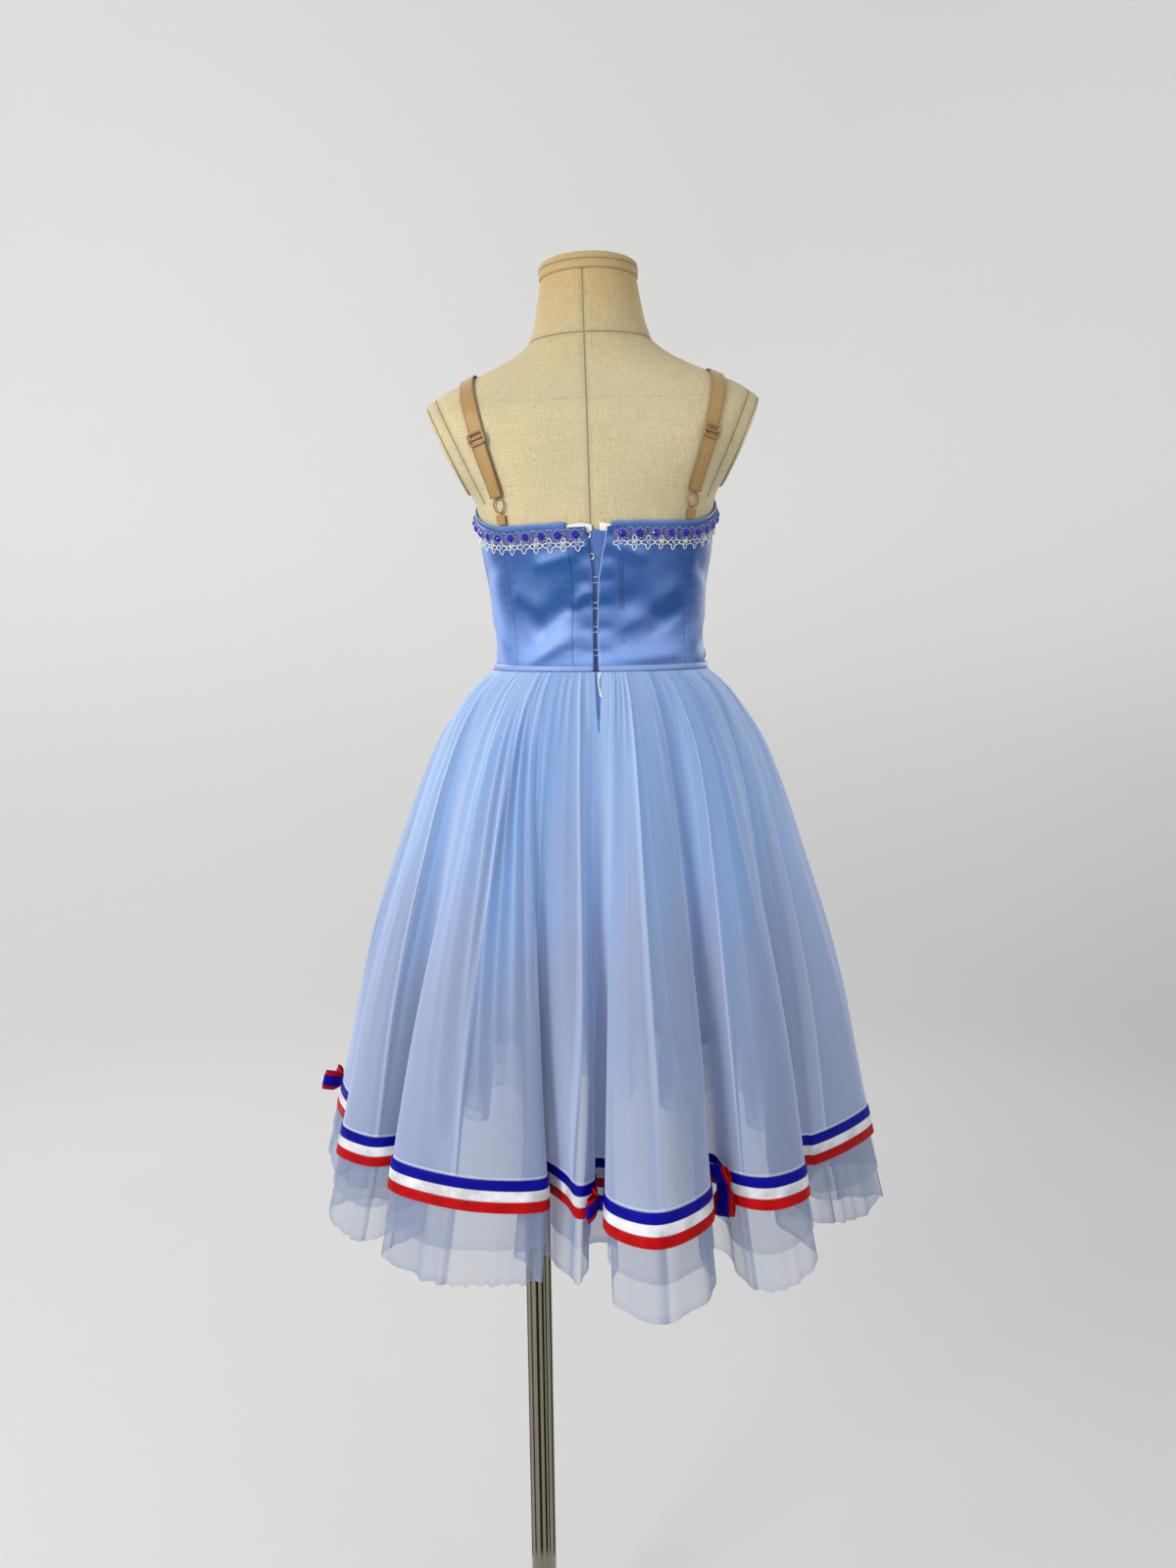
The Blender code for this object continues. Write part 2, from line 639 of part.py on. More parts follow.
def make_braid(finishes, frame):
    """The trim under the top edge: a lace band, and a looped edging below it."""
    top = BODICE_TOP_BACK
    columns = round_columns(back_degrees(BRAID_RIGHT_X, top),
                            360 + back_degrees(BRAID_LEFT_X, top), top)
    for name, finish, drop, height in (
            ("braid_lace", "lace", BRAID_TOP_GAP, LACE_HEIGHT),
            ("braid_picot", "cotton", BRAID_TOP_GAP + LACE_HEIGHT + GAP, PICOT_HEIGHT)):
        fitted_wall(name, (columns, columns),
                    lambda degrees: (bodice_top(degrees) - drop, bodice_top(degrees) - drop - height),
                    lambda degrees: bodice_clearance(degrees) + BODICE_CLOTH + 1.5 * GAP,
                    CLOTH, finishes[finish], frame)


# ---- Hooks, eyes and straps ----

def wire_loop(name, start_x, end_x, height, half_height, finish, frame):
    """A flat loop of wire across the back opening, between two x places at a height."""
    path = [(end_x, -0.5), (end_x, 0.5), (end_x + half_height * 0.5, 1.0),
            (start_x - half_height * 0.5, 1.0), (start_x, 0.5), (start_x, -0.5),
            (start_x - half_height * 0.5, -1.0), (end_x + half_height * 0.5, -1.0)]
    path = [np.array((x, height + half_height * share)) for x, share in path]
    middle = np.mean(path, axis=0)
    points = []
    for spot in path:
        away = (spot - middle) / np.linalg.norm(spot - middle)
        for side, lift in ((1, 0), (0, 1), (-1, 0), (0, -1)):
            x, up = spot + away * side * WIRE_RADIUS
            out = FORM_CLEARANCE + CLOTH + 1.5 * GAP + WIRE_RADIUS * (1 + lift)
            points.append(form_point(back_degrees(x, up), up, out))
    faces = []
    count = len(path)
    for row in range(count):
        for step in range(4):
            after, below = (step + 1) % 4, (row + 1) % count
            faces.append((row * 4 + step, row * 4 + after, below * 4 + after, below * 4 + step))
    add_piece(name, points, faces, finish, frame)


def make_fasteners(finish, frame):
    """Six eyes under the left back edge and six hooks under the right one; four are fastened."""
    for number, height in enumerate(FASTENER_HEIGHTS, start=1):
        left, right = read_rows(BACK_EDGES, height)
        eye_end, hook_start = left - EYE_SHOWS, right
        if number <= FASTENED:
            eye_end = right - FASTENED_OVERLAP
            hook_start = eye_end - 2 * WIRE_RADIUS - GAP
        wire_loop(f"eye_{number}", left + EYE_HIDDEN, eye_end, height, EYE_HALF_HEIGHT,
                  finish, frame)
        wire_loop(f"hook_{number}", hook_start, hook_start - HOOK_LENGTH, height,
                  HOOK_HALF_HEIGHT, finish, frame)


def form_tree(torso):
    """A search tree of the finished form, in its own frame."""
    return BVHTree.FromPolygons([v.co for v in torso.data.vertices],
                                [tuple(p.vertices) for p in torso.data.polygons])


def on_form(tree, turn, x):
    """The form's surface point and normal, looked for from outside at a turn over the shoulder."""
    angle = math.radians(turn)
    out = Vector((0.0, math.cos(angle), math.sin(angle)))
    centre = Vector((x, 0.0, STRAP_CENTRE_HEIGHT))
    point, normal, _, _ = tree.ray_cast(centre + out * 0.4, -out)
    return np.array(point), np.array(normal)


def strap_grid(tree, side, start, end, width, steps, out):
    """Rows of points across a strap that lies on the form, at a distance out from it."""
    turns = np.linspace(start, end, steps)
    middles = []
    for turn in turns:
        x = side * float(read_rows(STRAP_ROUTE, turn)[0])
        middles.append(on_form(tree, turn, x))
    places = np.array([point for point, _ in middles])
    normals = np.array([normal for _, normal in middles])
    for _ in range(3):
        normals[1:-1] = (normals[:-2] + normals[1:-1] * 2 + normals[2:]) / 4
        normals /= np.linalg.norm(normals, axis=1, keepdims=True)
    along = np.gradient(places, axis=0)
    across = np.cross(along, normals)
    across /= np.linalg.norm(across, axis=1, keepdims=True)
    rows = []
    for place, normal, side_way in zip(places, normals, across):
        row = []
        for share in (-0.5, 0.0, 0.5):
            start_point = Vector(place + side_way * share * width + normal * 0.03)
            hit = tree.ray_cast(start_point, Vector(-normal))[0]
            row.append(np.array(hit) + normal * out)
        rows.append(row)
    return np.array(rows)


def strap_wall(name, tree, side, start, end, width, steps, out, finish, frame):
    """A strap as a wall on the form."""
    inner = strap_grid(tree, side, start, end, width, steps, out)
    outer = strap_grid(tree, side, start, end, width, steps, out + CLOTH)
    add_wall(name, outer, inner, False, finish, frame)


def flat_ring(name, tree, side, turn, out, outline, finish, frame):
    """A closed ring of square wire that lies on a strap. outline gives (across, along) points."""
    wire = RING_WIRE
    x = side * float(read_rows(STRAP_ROUTE, turn)[0])
    place, normal = on_form(tree, turn, x)
    after, _ = on_form(tree, turn + 2, side * float(read_rows(STRAP_ROUTE, turn + 2)[0]))
    along = after - place
    along -= normal * float(along @ normal)
    along /= np.linalg.norm(along)
    across = np.cross(along, normal)
    outline = np.array(outline)
    points = []
    for across_by, along_by in outline:
        away = np.array((across_by, along_by)) / math.hypot(across_by, along_by)
        for reach, lift in ((wire, 0.0), (wire, 2 * wire), (-wire, 2 * wire), (-wire, 0.0)):
            spot = np.array((across_by, along_by)) + away * reach
            points.append(place + across * spot[0] + along * spot[1] + normal * (out + lift))
    faces = []
    count = len(outline)
    for row in range(count):
        for step in range(4):
            next_step, next_row = (step + 1) % 4, (row + 1) % count
            faces.append((row * 4 + step, row * 4 + next_step,
                          next_row * 4 + next_step, next_row * 4 + step))
    add_piece(name, points, faces, finish, frame, smooth=False)


def turn_length(tree, side, turn):
    """Metres along a strap for one degree of turn."""
    here, _ = on_form(tree, turn - 1, side * float(read_rows(STRAP_ROUTE, turn - 1)[0]))
    there, _ = on_form(tree, turn + 1, side * float(read_rows(STRAP_ROUTE, turn + 1)[0]))
    return float(np.linalg.norm(there - here)) / 2


def edge_turn(tree, side, start, end, gap):
    """The turn between start and end at which a strap's middle comes down to the top band."""
    for _ in range(24):
        middle = (start + end) / 2
        point, _ = on_form(tree, middle, side * float(read_rows(STRAP_ROUTE, middle)[0]))
        degrees = math.copysign(back_degrees(point[0], point[2]), point[1])
        if point[2] > bodice_top(degrees) + BAND_ABOVE + gap:
            start = middle
        else:
            end = middle
    return start


def make_straps(finishes, frame, torso):
    """Two shoulder straps, each with a slider, a ring and the short tab that holds the ring."""
    tree = form_tree(torso)
    turns = np.linspace(0, 2 * math.pi, RING_SIDES, endpoint=False)
    circle = [(RING_RADIUS * math.cos(turn), RING_RADIUS * math.sin(turn)) for turn in turns]
    slider = [(SLIDER_HALF_WIDTH * x, SLIDER_HALF_HEIGHT * y) for x, y in
              ((1, 0), (1, 1), (0, 1), (-1, 1), (-1, 0), (-1, -1), (0, -1), (1, -1))]
    tan, wire = finishes["strap"], finishes["coated_wire"]
    for side, word in ((1, "left"), (-1, "right")):
        reach = (RING_RADIUS + RING_WIRE + 3 * GAP) / turn_length(tree, side, RING_TURN)
        start = RING_TURN + reach
        front = edge_turn(tree, side, *STRAP_FRONT_TURNS, STRAP_END_GAP)
        strap_wall(f"strap_{word}", tree, side, start, front, STRAP_WIDTH, STRAP_STEPS,
                   STRAP_CLEARANCE, tan, frame)
        strap_wall(f"strap_loop_{word}", tree, side, start, SLIDER_TURN, STRAP_WIDTH,
                   LOOP_STEPS, LOOP_CLEARANCE, tan, frame)
        foot = edge_turn(tree, side, RING_TURN - reach, LOWEST_TAB_TURN, TAB_END_GAP)
        strap_wall(f"strap_tab_{word}", tree, side, foot, RING_TURN - reach, TAB_WIDTH,
                   TAB_STEPS, STRAP_CLEARANCE, tan, frame)
        flat_ring(f"ring_{word}", tree, side, RING_TURN, STRAP_CLEARANCE, circle, wire, frame)
        flat_ring(f"slider_{word}", tree, side, SLIDER_TURN, SLIDER_CLEARANCE, slider, wire, frame)


# ---- The skirt ----

def closed_curve(points, steps):
    """A smooth closed curve through points, paced by the square root of their distances."""
    count = len(points)
    curve = []
    for place in range(count):
        p0, p1, p2, p3 = (points[(place + k) % count] for k in (-1, 0, 1, 2))
        t1 = math.sqrt(np.linalg.norm(p1 - p0))
        t2 = t1 + math.sqrt(np.linalg.norm(p2 - p1))
        t3 = t2 + math.sqrt(np.linalg.norm(p3 - p2))
        for step in range(steps):
            t = t1 + (t2 - t1) * step / steps
            a1 = p0 + (p1 - p0) * t / t1
            a2 = p1 + (p2 - p1) * (t - t1) / (t2 - t1)
            a3 = p2 + (p3 - p2) * (t - t2) / (t3 - t2)
            b1 = a1 + (a2 - a1) * t / t2
            b2 = a2 + (a3 - a2) * (t - t1) / (t3 - t1)
            curve.append(b1 + (b2 - b1) * (t - t1) / (t2 - t1))
    return np.array(curve)


def fold_controls():
    """The hem curve's own points (x, y), each with its home angle at the waist in degrees."""
    crowns = [fold[3] for fold in HEM_FOLDS]
    controls = []
    for place, fold in enumerate(HEM_FOLDS):
        before = crowns[place - 1] - (360 if place == 0 else 0)
        after = crowns[(place + 1) % len(crowns)] + (360 if fold is HEM_FOLDS[-1] else 0)
        low, crown, high = (before + fold[3]) / 2, fold[3], (after + fold[3]) / 2
        homes = (crown - (crown - low) * 0.7, crown, crown + (high - crown) * 0.7)
        for home, degrees, reach in zip(homes, fold[1:7:2], fold[2:7:2]):
            angle = math.radians(degrees)
            controls.append((reach * math.cos(angle), reach * math.sin(angle), home))
        angle = math.radians(fold[7])
        for turn in (-1, 1):
            controls.append((fold[8] * math.cos(angle) - turn * fold[9] * math.sin(angle),
                             fold[8] * math.sin(angle) + turn * fold[9] * math.cos(angle),
                             high + turn * (high - crown) * 0.06))
    return np.array(controls)


def read_round(curve, places):
    """Points of a closed curve of (x, y, home degrees) at fractional places along it."""
    ends = np.concatenate([curve, curve[:1] + np.array((0.0, 0.0, 360.0))])
    return np.stack([np.interp(places, np.arange(len(ends)), ends[:, k]) for k in range(3)], axis=1)


def hem_curve():
    """The hem in plan at fine even steps, and the place of each of its own points among them."""
    controls = fold_controls()
    curve = closed_curve(controls[:, :2], CURVE_STEPS)
    homes = np.interp(np.arange(len(curve)) / CURVE_STEPS, np.arange(len(controls) + 1),
                      np.append(controls[:, 2], controls[0, 2] + 360))
    curve = np.column_stack([curve, homes])
    ends = np.concatenate([curve[:, :2], curve[:1, :2]])
    length = np.concatenate([[0.0], np.cumsum(np.linalg.norm(np.diff(ends, axis=0), axis=1))])
    count = round(length[-1] / HEM_STEP)
    steps = np.interp(np.linspace(0.0, length[-1], count, endpoint=False), length,
                      np.arange(len(length)))
    return read_round(curve, steps), length[:-1:CURVE_STEPS] * count / length[-1]


def eased(curve, width):
    """The closed curve with its bends eased over a width along it."""
    ramp = np.outer(np.linspace(0.0, 360.0, len(curve), endpoint=False), (0.0, 0.0, 1.0))
    waves = np.fft.fftfreq(len(curve), HEM_STEP)
    soften = np.exp(-2 * (math.pi * waves * width) ** 2)[:, None]
    return np.fft.ifft(np.fft.fft(curve - ramp, axis=0) * soften, axis=0).real + ramp


def skirt_places(curve, marks):
    """Places along the hem curve for the skirt's columns: its own points, and more between."""
    places = []
    for start, end in zip(marks, np.append(marks[1:], len(curve))):
        parts = math.ceil((end - start) * HEM_STEP / LONGEST_SKIRT_FACET)
        places.extend(np.linspace(start, end, parts, endpoint=False))
    return np.array(places)


def skirt_outline(curve, places, drop):
    """The overlay's outer face at one level, in plan."""
    level = drop if drop < SHARED_DROPS[-1] else SKIRT_DROP
    growth = level / SKIRT_DROP
    width = HEM_SMOOTHING + (WAIST_SMOOTHING - HEM_SMOOTHING) * (1 - growth)
    columns = read_round(eased(curve, width), places)
    spread = float(read_rows(SKIRT_SPREAD, level)[0])
    home = np.radians(columns[:, 2])
    round_way = np.column_stack([np.cos(home), np.sin(home)])
    mean_hem = round_way * (HEM_HALF_WIDTH, HEM_HALF_DEPTH)
    squared = np.sign(round_way) * np.abs(round_way) ** (2 / WAIST_SQUARENESS)
    waist = squared * (WAIST_HALF_WIDTH, WAIST_HALF_DEPTH)
    plan = waist + (mean_hem - waist) * spread + (columns[:, :2] - mean_hem) * growth
    return plan * (1 + HEM_FLARE * (drop - level))


def slant(drop):
    """How much further a layer reaches level than square to the cloth, for the skirt's slope."""
    low, high = (float(read_rows(SKIRT_SPREAD, max(drop + by, 0.0))[0]) for by in (-5 * MM, 5 * MM))
    return math.hypot(1.0, (high - low) * (HEM_HALF_WIDTH - WAIST_HALF_WIDTH) / (10 * MM))


def moved_in(outline, depth):
    """A closed outline moved inwards, square to its sides."""
    ahead = np.roll(outline, -1, axis=0) - outline
    ahead /= np.linalg.norm(ahead, axis=1, keepdims=True)
    after = np.column_stack([ahead[:, 1], -ahead[:, 0]])
    before = np.roll(after, 1, axis=0)
    share = 1 + np.sum(after * before, axis=1, keepdims=True)
    return outline - (after + before) / np.maximum(share, 0.15) * depth


def level_ring(outline, depth, drop):
    """An outline moved inwards by a thickness of cloth, as points at a drop below the waist."""
    ring = moved_in(outline, depth * slant(drop))
    return np.column_stack([ring, np.full(len(ring), -drop)])


def round_wall(name, outlines, depth, finish, frame):
    """A closed wall of cloth from (drop, outline) pairs, its outer face at a depth from them."""
    outer = np.array([level_ring(outline, depth, drop) for drop, outline in outlines])
    inner = np.array([level_ring(outline, depth + CLOTH, drop) for drop, outline in outlines])
    add_wall(name, outer, inner, True, finish, frame)


def make_skirt(finishes, frame):
    """The overlay with its three hem ribbons, and two petticoats inside it."""
    curve, marks = hem_curve()
    places = skirt_places(curve, marks)
    outlines = {drop: skirt_outline(curve, places, drop) for drop in
                (*SHARED_DROPS, SKIRT_DROP, UPPER_PETTICOAT_DROP, LOWER_PETTICOAT_DROP)}
    layers = (("overlay", SKIRT_DROP), ("petticoat_upper", UPPER_PETTICOAT_DROP),
              ("petticoat_lower", LOWER_PETTICOAT_DROP))
    for number, (name, hem) in enumerate(layers):
        rows = [(drop, outlines[drop]) for drop in (*SHARED_DROPS, hem)]
        round_wall(name, rows, number * LAYER_STEP, finishes["tulle"], frame)
    for number, word in enumerate(("blue", "white", "red")):
        start = SHARED_DROPS[-1] + GAP + number * (RIBBON_WIDTH + GAP)
        rows = [(drop, hem_outline(outlines, drop)) for drop in (start, start + RIBBON_WIDTH)]
        round_wall(f"hem_ribbon_{word}", rows, -GAP - CLOTH, finishes[f"ribbon_{word}"], frame)
    make_waist_tape(outlines, finishes["cotton"], frame)
    for name, mark, half_length, depth in BOWS:
        place = np.interp(mark, np.arange(len(marks)), marks)
        column = float(np.interp(place, places, np.arange(len(places))))
        make_bow(name, hem_seat(outlines, column), half_length, depth, finishes, frame)


def hem_outline(outlines, drop):
    """The overlay's outline between its last two levels."""
    share = (drop - SHARED_DROPS[-1]) / (SKIRT_DROP - SHARED_DROPS[-1])
    return outlines[SHARED_DROPS[-1]] * (1 - share) + outlines[SKIRT_DROP] * share


def make_waist_tape(outlines, finish, frame):
    """The white tape's loose end, which hangs out under the piping at the back opening."""
    top, foot = (level_ring(outlines[drop], 0.0, drop) for drop in SHARED_DROPS[:2])
    middles = (top + np.roll(top, -1, axis=0)) / 2
    behind = middles[:, 1] > 0
    column = int(np.argmin(np.where(behind, np.abs(middles[:, 0] - TAPE_WAIST_X), 1.0)))
    across = top[(column + 1) % len(top)] - top[column]
    out = np.cross(across, top[column] - foot[column])
    out /= np.linalg.norm(out)
    rows = []
    for share in TAPE_WAIST_ROW_SHARES:
        ring = top * (1 - share) + foot * share
        rows.append([ring[column] * (1 - part) + ring[(column + 1) % len(top)] * part
                     for part in TAPE_WAIST_COLUMN_SHARES])
    face = np.array(rows)
    add_wall("tape_waist", face + out * (GAP + CLOTH), face + out * GAP, False, finish, frame)


def hem_seat(outlines, column):
    """Where a bow sits on the hem ribbons: its middle, then the ways along, up and out."""
    before = int(column)
    share = column - before
    after = (before + 1) % len(outlines[SKIRT_DROP])
    corners = [[np.append(ring[at], -drop) for at in (before, after)] for drop, ring in
               ((BOW_DROP - 10 * MM, hem_outline(outlines, BOW_DROP - 10 * MM)),
                (BOW_DROP + 10 * MM, hem_outline(outlines, BOW_DROP + 10 * MM)))]
    along = corners[0][1] - corners[0][0] + corners[1][1] - corners[1][0]
    along /= np.linalg.norm(along)
    middles = [row[0] * (1 - share) + row[1] * share for row in corners]
    out = np.cross(along, middles[0] - middles[1])
    out /= np.linalg.norm(out)
    up = np.cross(out, along)
    return (middles[0] + middles[1]) / 2 + out * (CLOTH + GAP / 2), along, up, out


# ---- The bows ----

def bow_outline(half_length, depth, inset):
    """A bow's plan, (along, out from the skirt) right round both loops, at an inset inwards."""
    outline = []
    for step in range(BOW_COLUMNS):
        angle = 2 * math.pi * (step + 0.5) / BOW_COLUMNS
        share = abs(math.cos(angle))
        plump = math.sin(math.pi * share**0.8) ** 0.5
        thick = depth * plump / 2 + BOW_HALF_THICKNESS - inset
        outline.append(((half_length - inset) * math.cos(angle),
                        depth / 2 + BOW_HALF_THICKNESS + GAP
                        + thick * signed_power(math.sin(angle), 0.35)))
    return outline


def bow_wall(name, seat, half_length, depth, inset, half_height, finish, frame):
    """A ribbon wrapped round both loops of a bow, narrower where it is tied."""
    middle, along, up, out = seat
    grids = []
    for more in (0.0, CLOTH):
        rows = []
        for upward in (1, -1):
            row = []
            for reach, lift in bow_outline(half_length, depth, inset + more):
                share = BOW_TIE_SHARE + (1 - BOW_TIE_SHARE) * min(abs(reach) / half_length * 1.5, 1)
                row.append(middle + along * reach + out * lift + up * upward * half_height * share)
            rows.append(row)
        grids.append(np.array(rows))
    add_wall(name, grids[0], grids[1], True, finish, frame)


def make_bow(name, seat, half_length, depth, finishes, frame):
    """A red bow with a narrower blue ribbon round it."""
    bow_wall(f"bow_{name}_blue", seat, half_length, depth, 0.0, BOW_BLUE_HALF_HEIGHT,
             finishes["ribbon_blue"], frame)
    bow_wall(f"bow_{name}_red", seat, half_length, depth, CLOTH + GAP, BOW_RED_HALF_HEIGHT,
             finishes["ribbon_red"], frame)


def empty_frame(name, tilt):
    """An empty at the middle of the waist, which the pieces hang from."""
    frame = bpy.data.objects.new(name, None)
    frame.location = (FORM_OFFSET_X, 0.0, WAIST_HEIGHT)
    frame.rotation_euler = (0.0, tilt, 0.0)
    bpy.context.scene.collection.objects.link(frame)
    return frame


def main():
    for thing in list(bpy.context.scene.objects):
        bpy.data.objects.remove(thing, do_unlink=True)
    finishes = make_materials()
    form_frame = empty_frame("form_frame", FORM_TILT)
    skirt_frame = empty_frame("skirt_frame", 0.0)
    torso = make_form(finishes, form_frame)
    make_stand(finishes, None)
    make_bodice(finishes, form_frame)
    make_top_tapes(finishes["cotton"], form_frame)
    make_piping(finishes["blue_satin"], form_frame)
    make_braid(finishes, form_frame)
    make_fasteners(finishes["steel"], form_frame)
    make_straps(finishes, form_frame, torso)
    make_skirt(finishes, skirt_frame)


main()
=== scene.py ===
"""A ballet dress on a limbless dress form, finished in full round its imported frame.

The dress's hooked back faces +Y, and its front -Y. Metres throughout, +Z up.
Every piece is made by an operator of its own, from the sizes and colours in the sidebar's panel.
"""

import math

import bmesh
import bpy
import numpy as np
from bpy.props import FloatProperty, FloatVectorProperty, IntProperty, PointerProperty
from mathutils import Matrix, Vector
from mathutils.bvhtree import BVHTree


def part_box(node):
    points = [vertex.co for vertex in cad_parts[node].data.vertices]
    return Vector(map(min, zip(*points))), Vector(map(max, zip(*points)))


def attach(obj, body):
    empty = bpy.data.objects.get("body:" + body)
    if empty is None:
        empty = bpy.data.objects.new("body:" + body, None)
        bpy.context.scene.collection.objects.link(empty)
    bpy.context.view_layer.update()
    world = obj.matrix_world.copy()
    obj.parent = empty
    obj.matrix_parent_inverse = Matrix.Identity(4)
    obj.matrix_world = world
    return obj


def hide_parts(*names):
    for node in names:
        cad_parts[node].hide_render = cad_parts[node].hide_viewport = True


bl_info = {
    "name": "Ballet Dress on a Dress Form",
    "version": (1, 0, 0),
    "blender": (4, 5, 0),
    "location": "3D View > Sidebar > Ballet Dress",
    "description": "Builds a ballet dress, the form that wears it and a plain studio round them",
    "category": "Add Mesh",
}

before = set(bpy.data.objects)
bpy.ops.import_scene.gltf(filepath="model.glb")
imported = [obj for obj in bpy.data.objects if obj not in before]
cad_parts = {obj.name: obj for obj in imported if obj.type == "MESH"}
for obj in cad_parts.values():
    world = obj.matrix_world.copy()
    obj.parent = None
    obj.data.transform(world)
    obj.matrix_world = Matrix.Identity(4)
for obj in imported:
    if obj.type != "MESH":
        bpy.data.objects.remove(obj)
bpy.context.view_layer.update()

# ---- Places that come from the frame ----

MM = 0.001
SKIRT_TOP_DROP = 0.9 * MM
WAIST_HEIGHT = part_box("overlay")[1].z + SKIRT_TOP_DROP
FORM_OFFSET_X = -0.074
FORM_TILT = math.radians(1.25)
CLOTH = 1.0 * MM
GAP = 0.3 * MM

# ---- The form's sections, from the hips up to the neck ----
# height above the waist, half width, half depth, middle's distance behind the axis, squareness

FORM_SECTIONS = (
    (-0.200, 0.1060, 0.0820, 0.000, 2.2),
    (-0.185, 0.1165, 0.0910, 0.000, 2.2),
    (-0.150, 0.1210, 0.0950, 0.000, 2.2),
    (-0.100, 0.1180, 0.0930, 0.000, 2.2),
    (-0.050, 0.1090, 0.0850, 0.000, 2.2),
    (0.000, 0.1006, 0.0775, 0.000, 2.2),
    (0.030, 0.1000, 0.0770, 0.001, 2.2),
    (0.070, 0.1035, 0.0800, 0.002, 2.2),
    (0.110, 0.1095, 0.0850, 0.003, 2.2),
    (0.150, 0.1155, 0.0890, 0.003, 2.2),
    (0.170, 0.1200, 0.0900, 0.002, 2.3),
    (0.185, 0.1320, 0.0895, 0.001, 2.4),
    (0.200, 0.1470, 0.0890, 0.000, 2.4),
    (0.225, 0.1640, 0.0860, -0.002, 2.4),
    (0.243, 0.1700, 0.0800, -0.004, 2.4),
    (0.256, 0.1640, 0.0715, -0.005, 2.3),
    (0.269, 0.1480, 0.0635, -0.007, 2.2),
    (0.282, 0.1225, 0.0565, -0.009, 2.1),
    (0.293, 0.0985, 0.0525, -0.011, 2.0),
    (0.304, 0.0770, 0.0505, -0.013, 2.0),
    (0.316, 0.0635, 0.0490, -0.015, 2.0),
    (0.331, 0.0565, 0.0480, -0.017, 2.0),
    (0.353, 0.0512, 0.0468, -0.020, 2.0),
    (0.378, 0.0475, 0.0458, -0.023, 2.0),
)
ARM_PLANE_HEIGHT = 0.170
ARM_PLANE_X = 0.1212
ARM_PLANE_SLOPE = 0.445
ARMHOLE_LOWEST = 0.171
ARM_SEAM_INSET = 10.0 * MM
COLLAR_SEAM_HEIGHT = 0.318
CENTRE_SEAM_X = 0.006

# ---- The bodice ----

BODICE_TOP_BACK = 0.1325
BODICE_TOP_RISE = 0.055
BODICE_TOP_TURN = 0.12
SIDE_BACK_SEAM = 40.0
SIDE_FRONT_SEAM = -45.0
BODICE_CLOTH = 1.2 * MM
BACK_POCKET_CLEARANCE = 3.6 * MM
SIDE_CLEARANCE = 2.6 * MM
FORM_CLEARANCE = 0.9 * MM
METRES_PER_DEGREE = 0.00175

# Where the two back edges run beside the middle: height above the waist, left x, right x.
BACK_EDGES = (
    (0.000, 0.0070, 0.0025),
    (0.050, 0.0060, 0.0020),
    (0.085, 0.0052, -0.0002),
    (0.135, 0.0106, -0.0092),
)
PLACKET_WIDTH = 18.0 * MM
UNDERLAP_LEFT_X = 20.0 * MM
UNDERLAP_RIGHT_X = -12.0 * MM
UNDERLAP_TOP_GAP = 2.5 * MM
BAND_LEFT_X = 28.5 * MM
BAND_RIGHT_X = -12.8 * MM
BAND_ABOVE = 5.0 * MM
BRAID_TOP_GAP = 1.0 * MM
BRAID_LEFT_X = 11.5 * MM
BRAID_RIGHT_X = -13.5 * MM
FASTENER_HEIGHTS = (0.0173, 0.0390, 0.0612, 0.0846, 0.1060, 0.1255)
FASTENED = 4
FASTENED_OVERLAP = 1.2 * MM
EYE_SHOWS = 3.0 * MM
TAPE_ABOVE = 3.6 * MM
LACE_HEIGHT = 12.5 * MM
ZIGZAG_X = -0.0185

# The satin's drag creases: first and last place as degrees round from the left side and height
# above the waist, then the width and how far it stands up, as shares of the crease depth.
SATIN_CREASES = (
    (46, 0.004, 84, 0.038, 0.0075, 1.6),
    (56, 0.034, 80, 0.068, 0.0080, -1.5),
    (60, 0.098, 82, 0.108, 0.0055, 1.1),
    (43, 0.078, 63, 0.058, 0.0090, 0.8),
    (78, 0.060, 87, 0.076, 0.0045, 1.0),
    (95, 0.036, 134, 0.080, 0.0095, 1.4),
    (96, 0.114, 112, 0.102, 0.0060, 1.0),
    (99, 0.066, 128, 0.044, 0.0100, -1.1),
    (95, 0.010, 138, 0.014, 0.0070, 1.2),
    (112, 0.030, 138, 0.056, 0.0060, -0.8),
    (144, 0.020, 176, 0.060, 0.0100, 1.2),
    (146, 0.100, 178, 0.080, 0.0090, -1.0),
    (150, 0.008, 200, 0.016, 0.0070, 1.0),
    (186, 0.050, 222, 0.110, 0.0110, 1.3),
    (190, 0.110, 224, 0.140, 0.0090, -0.9),
    (228, 0.012, 262, 0.046, 0.0100, 1.2),
    (232, 0.120, 266, 0.090, 0.0110, 1.0),
    (240, 0.150, 300, 0.146, 0.0080, -0.9),
    (276, 0.046, 312, 0.010, 0.0100, 1.3),
    (272, 0.088, 310, 0.124, 0.0110, 0.9),
    (318, 0.104, 352, 0.052, 0.0110, 1.2),
    (322, 0.018, 356, 0.010, 0.0070, 1.0),
    (2, 0.060, 34, 0.022, 0.0100, 1.2),
    (4, 0.090, 36, 0.106, 0.0090, -1.0),
    (358, 0.014, 36, 0.008, 0.0065, 1.0),
)

# ---- The straps ----
# Each strap's route over the shoulder: degrees round from the back by the top, distance out in x.

STRAP_ROUTE = (
    (-60.0, 0.0860),
    (-29.0, 0.0892),
    (21.0, 0.1070),
    (60.0, 0.1185),
    (90.0, 0.1190),
    (130.0, 0.1080),
    (165.0, 0.0930),
    (182.0, 0.0850),
    (198.0, 0.0800),
)
STRAP_CENTRE_HEIGHT = 0.190
RING_TURN = -27.0
SLIDER_TURN = 21.0

